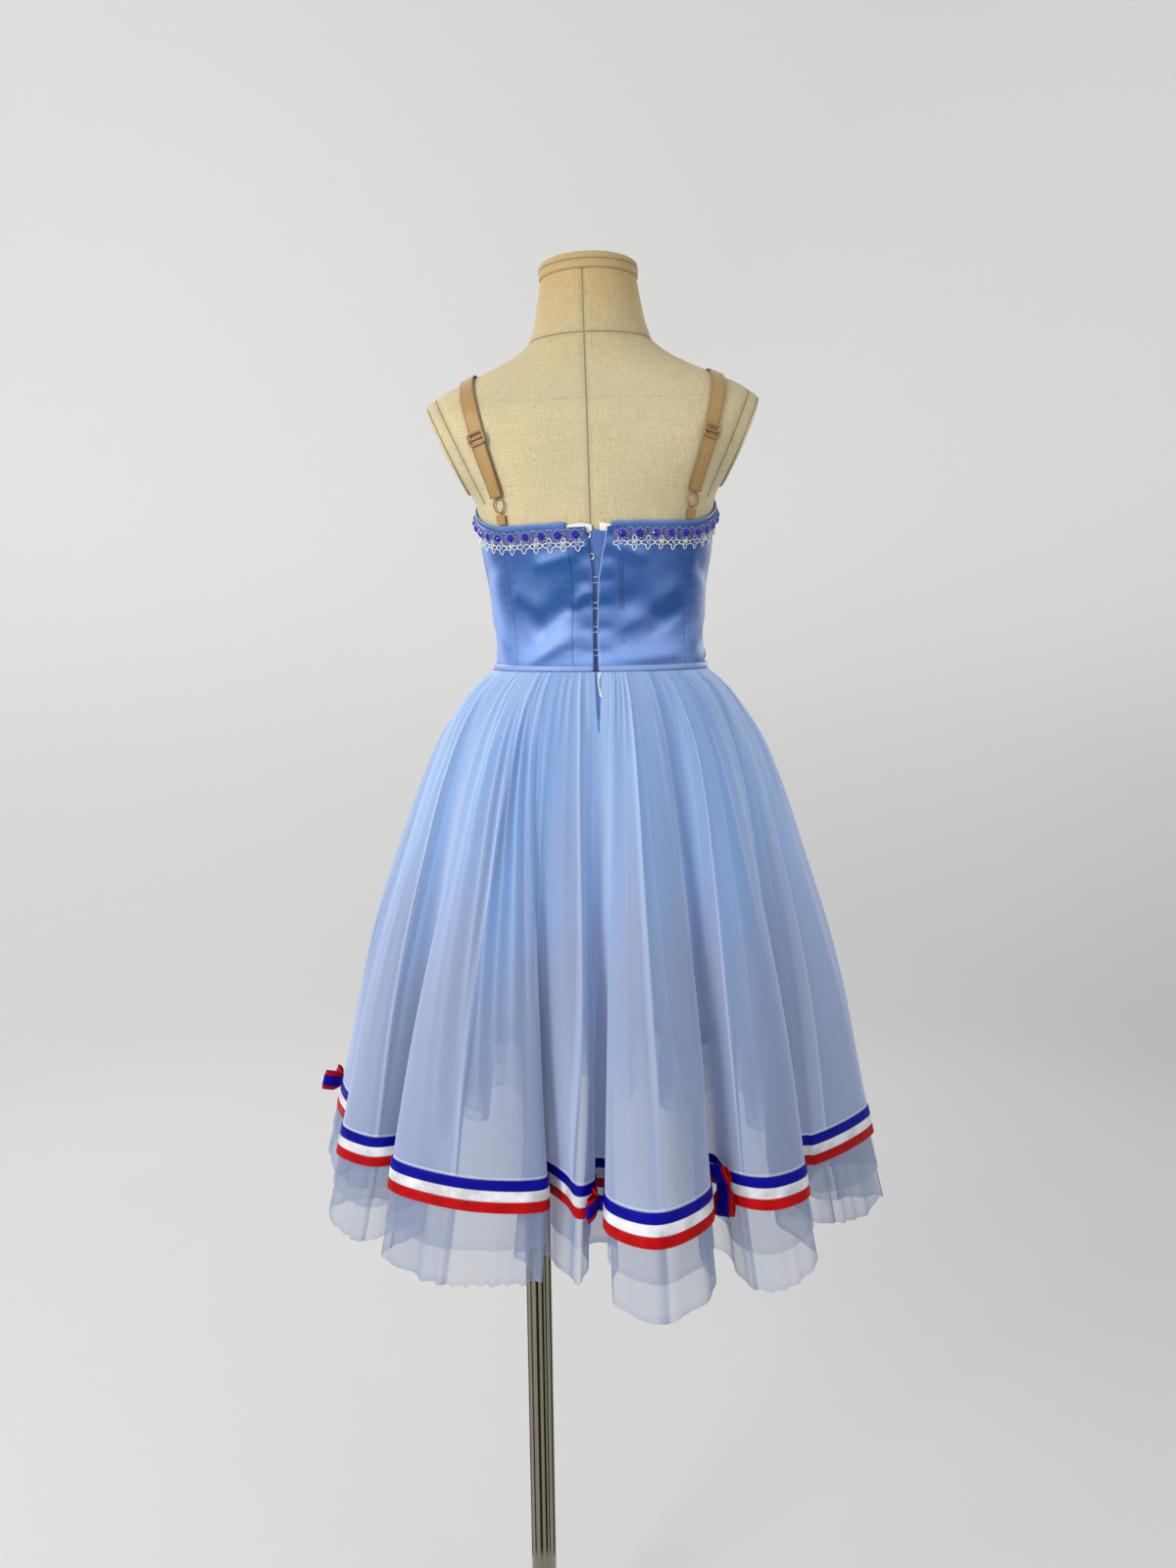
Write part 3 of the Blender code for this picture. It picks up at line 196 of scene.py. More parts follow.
# ---- The skirt ----
# drop below the waist, share of the way from the waist's outline to the hem's mean outline

SKIRT_SPREAD = (
    (0.000, 0.000),
    (0.020, 0.146),
    (0.045, 0.258),
    (0.100, 0.424),
    (0.180, 0.590),
    (0.300, 0.797),
    (0.480, 1.000),
    (0.600, 1.136),
)
HEM_FLARE = 0.9
RIBBON_TOP_DROP = 0.450
SKIRT_DROP = 0.480
WAIST_HALF_WIDTH = 0.1075
WAIST_HALF_DEPTH = 0.0845
WAIST_SQUARENESS = 2.2
HEM_HALF_WIDTH = 0.255
HEM_HALF_DEPTH = 0.210

# The hem's folds, round from the left side by the back: where each fold starts, crowns and ends,
# then the loop of cloth behind it; each as degrees from the left side and metres from the middle.
HEM_FOLDS = (
    # name, start deg, start m, crown deg, crown m, end deg, end m, loop deg, loop m, loop radius
    ("A", -21, 0.262, -10, 0.300, 6, 0.262, 10, 0.192, 0.008),
    ("B", 14, 0.238, 16, 0.283, 26, 0.257, 31, 0.206, 0.008),
    ("C", 36, 0.257, 57, 0.236, 75, 0.204, 65, 0.168, 0.009),
    ("D", 79, 0.194, 83, 0.217, 86.6, 0.203, 87, 0.160, 0.009),
    ("E", 89.6, 0.238, 99, 0.268, 113, 0.238, 121, 0.180, 0.009),
    ("F", 121, 0.222, 126, 0.251, 137, 0.256, 143, 0.202, 0.008),
    ("G", 148, 0.226, 160, 0.258, 171, 0.282, 165, 0.212, 0.008),
    ("H", 182, 0.238, 193, 0.284, 205, 0.262, 211, 0.196, 0.008),
    ("I", 214, 0.240, 226, 0.254, 237, 0.236, 243, 0.178, 0.009),
    ("J", 246, 0.220, 253, 0.244, 260, 0.228, 264, 0.168, 0.009),
    ("K", 268, 0.228, 278, 0.254, 288, 0.232, 291, 0.170, 0.009),
    ("L", 295, 0.228, 304, 0.248, 314, 0.242, 317, 0.188, 0.008),
    ("M", 321, 0.252, 327, 0.272, 334, 0.262, 333, 0.200, 0.008),
)
CURVE_STEPS = 16
HEM_STEP = 1.5 * MM
HEM_SMOOTHING = 4.0 * MM
WAIST_SMOOTHING = 60.0 * MM
LAYER_STEP = CLOTH + 1.5 * GAP
GATHERED_WIDTH = 1.2

# The bows on the hem. The place counts the hem curve's own points, five to a fold: its start, its
# crown, its end and the two sides of the loop behind it.
BOWS = (
    # name, place, half length, plumpness, droop, then in degrees: lean outwards, roll, swing
    ("left", 0.93, 0.0205, 0.0028, 0.00, 50, -7, 0),
    ("back_inner", 19.70, 0.0165, 0.0030, 0.15, 32, 0, 0),
    ("back_outer", 24.84, 0.0250, 0.0034, 0.00, 20, 78, 26),
    ("right", 35.30, 0.0225, 0.0048, 0.15, 32, 0, 0),
    ("front", 51.20, 0.0225, 0.0048, 0.15, 24, 0, 0),
)
BOW_DROP = 465.0 * MM
BOW_LIFT = 0.9 * MM
BOW_RIBBONS = (("red", 0.0215, 0.0), ("blue", 0.0125, 0.0006))  # colour, width, how far it lies out
SKIRT_COLUMN_STEP = 3.9 * MM
UPPER_PETTICOAT_DROP = 0.512
LOWER_PETTICOAT_DROP = 0.545
SLIT_X = 3.0 * MM
SLIT_DROP = 0.056


# ---- Settings that a user would change ----

def length(name, description, default, low, high):
    """A length that a user would change."""
    return FloatProperty(name=name, description=description, default=default, min=low, max=high,
                         unit="LENGTH")


class DressSizes(bpy.types.PropertyGroup):
    """The sizes of the finish, which lie on the fixed sizes of the frame."""

    ribbon_width: length("Ribbon width", "Width of each hem ribbon", 0.0095, 0.004, 0.02)
    ribbon_gap: length("Ribbon gap", "Space between two hem ribbons", 0.0003, 0.0, 0.003)
    gather_count: IntProperty(
        name="Gathers", description="Fine gathers round the waist", default=84, min=20, max=140)
    gather_depth: length("Gather depth", "How far the gathers stand up", 0.0026, 0.0, 0.006)
    crease_depth: length("Crease depth", "Height of the satin's drag creases", 0.0014, 0.0, 0.003)
    stone_width: length("Stone width", "Width of the blue stones", 0.0072, 0.002, 0.008)
    lace_pitch: length("Lace repeat", "Length of one flower of the lace", 0.0160, 0.01, 0.03)
    edging_pitch: length("Edging repeat", "Length of one edging loop", 0.0130, 0.008, 0.03)
    strap_width: length("Strap width", "Width of the shoulder straps", 0.0140, 0.006, 0.03)
    linen_pitch: length("Linen pitch", "From one linen thread to the next", 0.0009, 0.0003, 0.003)
    net_pitch: length("Net pitch", "From one hole of the tulle to the next", 0.0012, 0.0005, 0.003)


def colour(name, description, default):
    """A colour that a user would change."""
    return FloatVectorProperty(name=name, description=description, default=default,
                               subtype="COLOR", size=3, min=0.0, max=1.0)


class DressColours(bpy.types.PropertyGroup):
    """The colours of the cloths and trims."""

    satin: colour("Satin", "The bodice and its piping", (0.034, 0.118, 0.370))
    tulle: colour("Tulle", "The net over the skirt", (0.345, 0.470, 0.705))
    tulle_deep: colour("Deep tulle", "The nets where they are close under the waist",
                       (0.180, 0.360, 0.690))
    tulle_pale: colour("Pale tulle", "The nets towards the hem", (0.340, 0.400, 0.585))
    ribbon_blue: colour("Blue ribbon", "The upper hem ribbon", (0.001, 0.001, 0.260))
    ribbon_white: colour("White ribbon", "The middle hem ribbon", (0.720, 0.720, 0.760))
    ribbon_red: colour("Red ribbon", "The lower hem ribbon", (0.440, 0.001, 0.002))
    lace: colour("Lace", "The lavender lace band", (0.095, 0.120, 0.330))
    edging: colour("Edging", "The white loops under the lace", (0.920, 0.920, 0.900))
    cotton: colour("Cotton", "The white tapes", (0.860, 0.860, 0.840))
    stone: colour("Stone", "The blue stones", (0.002, 0.003, 0.340))
    linen: colour("Linen", "The form's cover", (0.640, 0.545, 0.330))
    strap: colour("Strap", "The shoulder straps", (0.345, 0.205, 0.066))
    coating: colour("Coated wire", "The rings and sliders", (0.290, 0.150, 0.055))
    steel: colour("Steel", "The hooks, eyes and socket", (0.900, 0.890, 0.860))
    chrome: colour("Chrome", "The pole and base", (0.300, 0.270, 0.205))
    studio: colour("Studio", "The plain floor and walls", (0.690, 0.690, 0.685))


def sizes():
    return bpy.context.scene.dress_sizes


def colours():
    return bpy.context.scene.dress_colours


# ---- Tables, curves and small sums ----

def rows_at(table, values):
    """The columns of a table at values of its first column, on smooth curves through its rows."""
    table = np.array(table, dtype=float)
    keys = table[:, 0]
    values = np.clip(np.asarray(values, dtype=float), keys[0], keys[-1])
    spans = np.diff(keys)
    slopes = np.diff(table[:, 1:], axis=0) / spans[:, None]
    tangents = np.empty_like(table[:, 1:])
    tangents[0], tangents[-1] = slopes[0], slopes[-1]
    weight = spans[1:, None] / (spans[:-1] + spans[1:])[:, None]
    tangents[1:-1] = weight * slopes[:-1] + (1 - weight) * slopes[1:]
    place = np.clip(np.searchsorted(keys, values) - 1, 0, len(keys) - 2)
    step = spans[place][..., None]
    t = (values - keys[place])[..., None] / step
    return ((2 * t**3 - 3 * t**2 + 1) * table[place, 1:]
            + (t**3 - 2 * t**2 + t) * step * tangents[place]
            + (3 * t**2 - 2 * t**3) * table[place + 1, 1:] + (t**3 - t**2) * step * tangents[place + 1])


def signed_power(value, power):
    return np.sign(value) * np.abs(value) ** power


def ramp(value, low, high):
    """0 below low, 1 above high and a smooth step between them."""
    t = np.clip((value - low) / (high - low), 0.0, 1.0)
    return t * t * (3 - 2 * t)


def unit(vectors):
    return vectors / np.maximum(np.linalg.norm(vectors, axis=-1, keepdims=True), 1e-12)


def spots_at(x, y, z):
    """Places from their three sides, each an array or one number."""
    return np.stack(np.broadcast_arrays(x, y, z), axis=-1)


def full_turn(count):
    """Even steps right round, in radians."""
    return 2 * math.pi * np.arange(count) / count


def lengths_along(points, closed=False):
    """The distance of each point along a line of points, with the whole length last if closed."""
    ends = np.concatenate([points, points[:1]]) if closed else points
    steps = np.linalg.norm(np.diff(ends, axis=0), axis=1)
    return np.concatenate([[0.0], np.cumsum(steps)])


def wandering(places, seed, detail):
    """A smooth wandering curve between about -1 and 1 that meets itself round the skirt."""
    draw = np.random.default_rng(seed)
    total = np.zeros_like(places)
    for turn in range(1, detail + 1):
        total += (draw.normal() * np.cos(2 * math.pi * turn * places)
                  + draw.normal() * np.sin(2 * math.pi * turn * places))
    return total / math.sqrt(detail)


# ---- Meshes ----

def link_piece(piece):
    bpy.context.scene.collection.objects.link(piece)
    return piece


def configure(thing, **settings):
    """Sets several of a thing's own settings."""
    for name, value in settings.items():
        setattr(thing, name, value)
    return thing


def new_mesh(name, points, faces, finish, crease_angle=None):
    """A smooth mesh object from points and faces."""
    mesh = bpy.data.meshes.new(name)
    mesh.from_pydata(np.asarray(points).tolist(), [], faces)
    mesh.shade_smooth()
    if crease_angle is not None:
        mesh.set_sharp_from_angle(angle=math.radians(crease_angle))
    mesh.materials.append(finish)
    mesh.update()
    return link_piece(bpy.data.objects.new(name, mesh))


def grid_corners(rows, columns, closed):
    """Each quad's first row and column in a grid of points, and the column after it."""
    row, column = np.meshgrid(np.arange(rows - 1), np.arange(columns if closed else columns - 1),
                              indexing="ij")
    return row, column, (column + 1) % columns


def grid_faces(rows, columns, closed):
    """Quads over a grid of points, as an array of corner numbers."""
    row, column, after = grid_corners(rows, columns, closed)
    corners = (row * columns + column, (row + 1) * columns + column,
               (row + 1) * columns + after, row * columns + after)
    return np.stack(corners, axis=-1).reshape(-1, 4)


def closed_faces(rows, columns, outward=False):
    """The faces of a closed grid with both its ends covered."""
    quads = grid_faces(rows, columns, True)
    first, last = tuple(range(columns)), tuple(range((rows - 1) * columns, rows * columns))
    return [*quads[:, ::-1].tolist(), first[::-1], last] if outward else [*quads.tolist(), first, last]


def put_field(mesh, name, values):
    """A number for each point, which the finish reads."""
    field = mesh.attributes.new(name, "FLOAT", "POINT")
    field.data.foreach_set("value", np.asarray(values, dtype=np.float32).ravel())


def put_places(mesh, name, domain, values):
    """A place for each point or corner, which the finish reads."""
    field = mesh.attributes.new(name, "FLOAT_VECTOR", domain)
    field.data.foreach_set("vector", np.asarray(values, dtype=np.float32).ravel())


def put_cloth_places(mesh, across, down, closed, kept):
    """Each corner's place in the cloth in metres, across and down, for weaves and stitches."""
    row, column, after = grid_corners(*down.shape, closed)
    corners = ((row, column, column), (row + 1, column, column), (row + 1, after, column + 1),
               (row, after, column + 1))
    places = np.stack([spots_at(across[r, wide], down[r, c], 0.0) for r, c, wide in corners], axis=2)
    put_places(mesh, "cloth", "CORNER", places[kept])


def points_of(mesh):
    return np.array([tuple(vertex.co) for vertex in mesh.vertices])


def thicken(piece, thickness, offset):
    solid = piece.modifiers.new("thickness", "SOLIDIFY")
    return configure(solid, thickness=thickness, offset=offset)


def add_cloth(name, grid, finish, closed=False, across=None, down=None, thickness=0.0,
              offset=-1.0, kept=None, **fields):
    """A sheet of cloth over rows of points, with its own places for the weave."""
    rows, columns = grid.shape[:2]
    if kept is None:
        kept = np.ones((rows - 1, columns if closed else columns - 1), dtype=bool)
    faces = grid_faces(rows, columns, closed)[kept.ravel()].tolist()
    piece = new_mesh(name, grid.reshape(-1, 3), faces, finish)
    if across is None:
        across = np.array([lengths_along(row, closed) for row in grid])
    elif across.ndim == 1:
        across = np.tile(across, (rows, 1))
    if down is None:
        down = np.stack([lengths_along(grid[:, column]) for column in range(columns)], axis=1)
    put_cloth_places(piece.data, across, down, closed, kept)
    for field, values in fields.items():
        put_field(piece.data, field, np.broadcast_to(values, (rows, columns)))
    if thickness:
        thicken(piece, thickness, offset).use_quality_normals = True
    return piece


def tube(points, radius, sides=6, closed=False, flat=1.0):
    """Rings of points round a line, and the quads between them. flat squeezes every ring."""
    points = np.asarray(points, dtype=float)
    count = len(points)
    if closed:
        ahead = np.roll(points, -1, axis=0) - np.roll(points, 1, axis=0)
    else:
        ahead = np.gradient(points, axis=0)
    ahead = unit(ahead)
    guide = np.array((0.0, 0.0, 1.0)) if abs(ahead[0][2]) < 0.9 else np.array((1.0, 0.0, 0.0))
    side = np.empty_like(points)
    side[0] = unit(np.cross(ahead[0], guide))
    for step in range(1, count):
        side[step] = unit(side[step - 1] - ahead[step] * (side[step - 1] @ ahead[step]))
    top = np.cross(ahead, side)
    if closed:
        back = unit(side[-1] - ahead[0] * (side[-1] @ ahead[0]))
        twist = math.atan2(back @ top[0], back @ side[0])
        turn = -twist * np.arange(count) / count
        side, top = (side * np.cos(turn)[:, None] + top * np.sin(turn)[:, None],
                     top * np.cos(turn)[:, None] - side * np.sin(turn)[:, None])
    angles = full_turn(sides)
    radii = np.broadcast_to(np.asarray(radius, dtype=float), (count,))[:, None, None]
    rings = (points[:, None] + radii * (side[:, None] * np.cos(angles)[None, :, None] * flat
                                        + top[:, None] * np.sin(angles)[None, :, None]))
    faces = grid_faces(count, sides, True).tolist()
    if closed:
        last = (count - 1) * sides
        faces += [(last + at, at, (at + 1) % sides, last + (at + 1) % sides) for at in range(sides)]
    else:
        faces.append(tuple(range(sides)))
        faces.append(tuple(reversed(range((count - 1) * sides, count * sides))))
    return rings.reshape(-1, 3), faces


def joined(name, parts, finish, crease_angle=None):
    """One mesh of many small parts, each given as its points and faces."""
    points, faces, start = [], [], 0
    for part_points, part_faces in parts:
        points.append(part_points)
        faces.extend([tuple(corner + start for corner in face) for face in part_faces])
        start += len(part_points)
    piece = new_mesh(name, np.concatenate(points), faces, finish, crease_angle)
    body = bmesh.new()
    body.from_mesh(piece.data)
    bmesh.ops.recalc_face_normals(body, faces=body.faces)
    body.to_mesh(piece.data)
    body.free()
    return piece


def settle(piece, slot, *nodes):
    """The piece rides on the form and stands for its solids. Its slot is not used."""
    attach(piece, "root")
    if nodes:
        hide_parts(*nodes)
    return piece


# ---- Finishes ----

def node(tree, kind, inputs=(), **settings):
    """A shader node. inputs gives (socket, value) pairs; a Value is what feeds the socket."""
    made = configure(tree.nodes.new(kind), **settings)
    for name, value in inputs:
        if isinstance(value, Value):
            tree.links.new(value.socket, made.inputs[name])
        else:
            made.inputs[name].default_value = value
    return made


def sum_of(operation, *values):
    """The result of a Math node on numbers and Values."""
    tree = next(value.tree for value in values if isinstance(value, Value))
    return Value(node(tree, "ShaderNodeMath", enumerate(values), operation=operation).outputs[0])


class Value:
    """A number, place or colour in a node tree, so that sums of them are written as sums."""

    def __init__(self, socket):
        self.socket = socket
        self.tree = socket.id_data

    def __add__(self, other):
        return sum_of("ADD", self, other)

    def __sub__(self, other):
        return sum_of("SUBTRACT", self, other)

    def __rsub__(self, other):
        return sum_of("SUBTRACT", other, self)

    def __mul__(self, other):
        return sum_of("MULTIPLY", self, other)

    def __rtruediv__(self, other):
        return sum_of("DIVIDE", other, self)

    def __abs__(self):
        return sum_of("ABSOLUTE", self)

    def spread(self, low, high, to_low=0.0, to_high=1.0):
        """The number moved from one range to another, smoothly."""
        ranges = (("Value", self), ("From Min", low), ("From Max", high), ("To Min", to_low),
                  ("To Max", to_high))
        made = node(self.tree, "ShaderNodeMapRange", ranges, interpolation_type="SMOOTHSTEP")
        return Value(made.outputs["Result"])

    def blend(self, first, second, kind="MIX"):
        """Two colours mixed by this share."""
        ends = [end if isinstance(end, Value) else opaque(end) for end in (first, second)]
        made = node(self.tree, "ShaderNodeMix", ((0, self), (6, ends[0]), (7, ends[1])),
                    data_type="RGBA", blend_type=kind)
        return Value(made.outputs[2])

    def sides(self):
        """The x, y and z of a place."""
        return [Value(side) for side in node(self.tree, "ShaderNodeSeparateXYZ", ((0, self),)).outputs]

    def scaled(self, share):
        return Value(node(self.tree, "ShaderNodeVectorMath", ((0, self), ("Scale", share)),
                          operation="SCALE").outputs[0])

    def stretched(self, shares):
        return Value(node(self.tree, "ShaderNodeVectorMath", ((0, self), (1, shares)),
                          operation="MULTIPLY").outputs[0])

    def noise(self, scale, detail, dimensions="3D"):
        """Soft noise at a place."""
        inputs = (("Vector", self), ("Scale", scale), ("Detail", detail))
        return Value(node(self.tree, "ShaderNodeTexNoise", inputs, noise_dimensions=dimensions).outputs[0])


def room_place(tree):
    """The place of each point in the piece's own space."""
    return Value(node(tree, "ShaderNodeTexCoord").outputs["Object"])


def opaque(colour_value):
    return (*colour_value, 1.0)


def effect(name, takes, gives):
    """Turns a function of values into a shared node group, built when a finish first asks for it."""
    def kept(build):
        def placed(finish, *values):
            shared = bpy.data.node_groups.get(name) or new_group(name, takes, gives, build)
            made = node(finish.tree, "ShaderNodeGroup", enumerate(values), node_tree=shared)
            results = [Value(result) for result in made.outputs]
            return results if len(results) > 1 else results[0]
        return placed
    return kept


def new_group(name, takes, gives, build):
    """A shader node group with named ends, and what build puts between them."""
    tree = bpy.data.node_groups.new(name, "ShaderNodeTree")
    for way, sockets in (("INPUT", takes), ("OUTPUT", gives)):
        for socket in sockets:
            kind = "NodeSocketVector" if socket == "Place" else "NodeSocketFloat"
            tree.interface.new_socket(name=socket, in_out=way, socket_type=kind)
    start, end = node(tree, "NodeGroupInput"), node(tree, "NodeGroupOutput")
    results = build(*(Value(start.outputs[socket]) for socket in takes))
    for socket, result in zip(gives, results):
        tree.links.new(result.socket, end.inputs[socket])
    return tree


@effect("Woven threads", ("Place", "Threads per metre", "Slub"), ("Height", "Shade"))
def woven_threads(place, per_metre, slub):
    """Warp and weft threads of uneven thickness."""
    place = place.scaled(per_metre)
    strands = [place.stretched(shares).noise(1.0, 2.0, "2D")
               for shares in ((1.0, 0.04, 0.0), (0.04, 1.0, 0.0))]
    waves = [sum_of("COSINE", side * (2 * math.pi)) for side in place.sides()[:2]]
    uneven = ((strands[0] + strands[1]) * 0.5 - 0.5) * slub
    return (waves[0] + waves[1]) * 0.25 + 0.5 + uneven * 2.0, uneven + 0.5


@effect("Net holes", ("Place", "Holes per metre"), ("Threads",))
def net_holes(place, per_metre):
    """The threads round the small holes of a net."""
    inputs = (("Vector", place.scaled(per_metre)), ("Scale", 1.0), ("Randomness", 0.35))
    cells = node(place.tree, "ShaderNodeTexVoronoi", inputs, voronoi_dimensions="2D",
                 feature="DISTANCE_TO_EDGE")
    return (Value(cells.outputs["Distance"]).spread(0.05, 0.22, 1.0, 0.0),)


@effect("Fold shades", ("Place", "Folds per metre", "Wander"), ("Shade", "Line"))
def fold_shades(place, per_metre, wander):
    """Long folds that lie double: each is dense at one sharp side and thins out to the next."""
    drift = place.stretched((1.0, 0.07, 0.0)).noise(per_metre, 1.0, "2D")
    step = sum_of("FRACT", place.sides()[0] * per_metre + drift * wander)
    ending = step.spread(0.97, 1.0, 1.0, 0.0)
    return step * ending, step.spread(0.90, 0.96) * ending


@effect("Soft clouds", ("Clouds per metre", "Strength"), ("Value",))
def soft_clouds(per_metre, strength):
    """Soft clouds over the whole piece, for handling marks and uneven dye; on the satin they are painted
    sheen.
    """
    return ((room_place(per_metre.tree).noise(per_metre, 3.0) - 0.5) * strength + 0.5,)


class Finish:
    """A material with plain values on its shader, and the values that its effects start from."""

    def __init__(self, name, base, roughness, metallic=0.0, **plain):
        self.material = bpy.data.materials.new(name)
        self.material.use_nodes = True
        self.material.diffuse_color = opaque(base)
        self.base = base
        self.tree = self.material.node_tree
        self.shader = self.tree.nodes["Principled BSDF"]
        plain = {"Base Color": opaque(base), "Roughness": roughness, "Metallic": metallic, **plain}
        for socket, value in plain.items():
            self.shader.inputs[socket.replace("_", " ")].default_value = value

    def field(self, name, output="Fac"):
        """A number or a place that the mesh holds at each point."""
        made = node(self.tree, "ShaderNodeAttribute", attribute_type="GEOMETRY", attribute_name=name)
        return Value(made.outputs[output])

    def place(self):
        return self.field("cloth", "Vector")

    def feed(self, socket, value):
        self.tree.links.new(value.socket, self.shader.inputs[socket])

    def shade(self, share):
        """The base colour made darker or lighter."""
        return [min(channel * share, 1.0) for channel in self.base]

    def tint(self, share, darker, lighter):
        """Feeds the shader's colour: the base between a darker and a lighter tint by a share."""
        self.feed("Base Color", share.blend(self.shade(darker), self.shade(lighter)))

    def bump(self, height, distance, strength=1.0, below=()):
        """A bump from a height, over another bump if there is one."""
        inputs = [("Height", height), ("Distance", distance), ("Strength", strength), *below]
        made = Value(node(self.tree, "ShaderNodeBump", inputs).outputs[0])
        self.feed("Normal", made)
        return made

    def ribs(self, side, pitch, middle):
        """The height of close ribs on one side of the cloth, with an edge that lies lower."""
        wave = sum_of("SINE", self.place().sides()[side] * (2 * math.pi / pitch))
        return wave * 0.5 + middle * 2.0


def once(make):
    """Keeps each finish, so that several pieces can share it."""
    def found(*args):
        name = " ".join(["finish", make.__name__.replace("_", " "), *map(str, args)])
        return bpy.data.materials.get(name) or make(name, *args).material
    return found


@once
def satin(name, word):
    """Close blue satin with fine threads and soft clouds of painted sheen. The body's colour carries a
    painted sheen from the mesh, and the paler edge copy is a painted highlight for rolled edges.
    """
    # The edge copy is paler: a painted highlight on the rolled edges and piping, which the pale edge
    # stitches also wear.
    scale, lift = {"body": (1.0, 0.0), "edge": (1.3, 0.24), "thread": (0.35, 0.0)}[word]
    base = [channel * scale + lift for channel in colours().satin]
    made = Finish(name, base, 0.34, Sheen_Weight=0.06, Sheen_Roughness=0.25,
                  Sheen_Tint=(0.70, 0.84, 1.0, 1.0), Specular_IOR_Level=0.5,
                  Specular_Tint=(0.60, 0.80, 1.0, 1.0))
    height, threads = woven_threads(made, made.place(), 2600.0, 0.6)
    clouds = soft_clouds(made, 28.0, 1.0)
    share = threads * 0.3 + clouds * 0.4
    if word == "body":
        # Painted sheen: the mesh's field moves the colour from a darker to a much paler blue.
        share = (share + (made.field("shine") - 0.1)).spread(0.15, 1.25)
        low = [channel * darker for channel, darker in zip(base, (0.35, 0.58, 0.72))]
        made.feed("Base Color", share.blend(low, [channel * 1.6 + 0.17 for channel in base]))
    else:
        made.tint(share, 0.70, 1.30)
    made.feed("Roughness", clouds.spread(0.2, 0.8, 0.30, 0.42))
    made.bump(height, 0.00005, 0.5)
    return made


@once
def tulle(name, layer):
    """Sheer net. It lies denser and bluer where the skirt is gathered, and paler at the hem."""
    shades = colours()
    deep, pale, strength, sewn_at = (
        (shades.tulle, shades.tulle_pale, 1.0, RIBBON_TOP_DROP - 1.0 * MM) if layer == "over"
        else (shades.tulle_deep, [channel * 0.68 for channel in shades.tulle_pale], 0.35, 1.0))
    # The emission is painted light: the net glows faintly in its own colour, so that its shaded inside
    # stays light.
    made = Finish(name, pale, 0.75, Sheen_Weight=0.22, Sheen_Roughness=0.35,
                  Sheen_Tint=(0.86, 0.90, 1.0, 1.0), Specular_IOR_Level=0.2, Emission_Strength=0.16)
    place = made.place()
    threads = net_holes(made, place, 1.0 / sizes().net_pitch)
    clouds = soft_clouds(made, 9.0, 0.5)
    wide, wide_line = fold_shades(made, place, 9.0, 1.3)
    narrow, narrow_line = fold_shades(made, place, 19.0, 1.2)
    down = made.field("fall")
    fade = down * (-0.8 * strength) + strength
    folds = (wide - 0.45) + (narrow - 0.45) * (fade * 0.42)
    lines = sum_of("MAXIMUM", wide_line, narrow_line * (fade * 0.32))
    share = (down + folds * 0.55 + (clouds - 0.5)).spread(0.05, 0.95)
    sewn = abs(place.sides()[1] - sewn_at).spread(0.0005, 0.0012, 1.0, 0.0)
    net = sewn.blend(share.blend(deep, pale), (0.48, 0.53, 0.70))
    made.feed("Base Color", net)
    made.feed("Emission Color", net)
    facing = Value(node(made.tree, "ShaderNodeLayerWeight", (("Blend", 0.5),)).outputs["Facing"])
    square_on = sum_of("MAXIMUM", 1.0 - facing, 0.10)
    weave = threads.spread(0.0, 1.0, 0.86, 1.14) * (folds * 0.60 + (lines * 0.85 + 1.0))
    covered = sum_of("MINIMUM", sewn * 0.25 + made.field("cover") * weave, 0.97)
    clear = sum_of("POWER", 1.0 - covered, 1.0 / square_on)
    made.feed("Alpha", 1.0 - clear)
    return made


@once
def ribbon_satin(name, word):
    """Narrow satin ribbon with fine cross ribs and woven edges."""
    made = Finish(name, getattr(colours(), f"ribbon_{word}"), 0.40, Specular_IOR_Level=0.10)
    clouds = soft_clouds(made, 45.0, 1.2)
    made.tint(clouds.spread(0.15, 0.75), 0.60 if word == "white" else 0.75, 1.12)
    made.feed("Roughness", clouds.spread(0.2, 0.8, 0.30, 0.48))
    made.bump(made.ribs(0, 0.0009, made.field("edge").spread(0.0, 0.10)), 0.00006, 0.6)
    return made


@once
def linen(name):
    """Plain natural linen over padding, with slubs, soft stains and sewn seams."""
    made = Finish(name, colours().linen, 0.88, Sheen_Weight=0.08, Specular_IOR_Level=0.25)
    height, threads = woven_threads(made, made.place(), 1.0 / sizes().linen_pitch, 1.6)
    share = threads * 0.6 + soft_clouds(made, 14.0, 1.4) * 0.4
    room = room_place(made.tree)
    above_neck = room.sides()[2].spread(WAIST_HEIGHT + 0.26, WAIST_HEIGHT + 0.40, 0.0, 0.85)
    from_x, from_y, from_z = (abs(side) for side in made.field("seams", "Vector").sides())
    nearest = sum_of("MINIMUM", from_x, sum_of("MINIMUM", from_y, from_z))
    line = nearest.spread(0.0003, 0.0009, 0.75, 0.0)
    shadow = nearest.spread(0.0006, 0.0055, 0.22, 0.0)
    cover = share.blend(made.shade(0.72), made.shade(1.26))
    cover = room.noise(820.0, 3.0).spread(0.36, 0.64, 0.5, 0.0).blend(cover, made.shade(0.62))
    cover = room.noise(250.0, 1.0).spread(0.72, 0.79, 0.0, 0.55).blend(cover, made.shade(0.45))
    cover = above_neck.blend(cover, (0.78, 0.64, 0.44), "MULTIPLY")
    cover = shadow.blend(cover, made.shade(0.45))
    made.feed("Base Color", line.blend(cover, made.shade(0.30)))
    woven = made.bump(height, 0.00016, 0.75)
    made.bump(line * -1.0, 0.0006, 0.9, (("Normal", woven),))
    return made


@once
def lace_net(name):
    """The open ground of the lace, with a small hole between its threads."""
    made = Finish(name, colours().lace, 0.8, Sheen_Weight=0.2)
    threads = net_holes(made, made.place(), 620.0)
    made.feed("Alpha", threads.spread(0.10, 0.45, 0.35, 1.0))
    made.tint(threads, 0.75, 1.15)
    return made


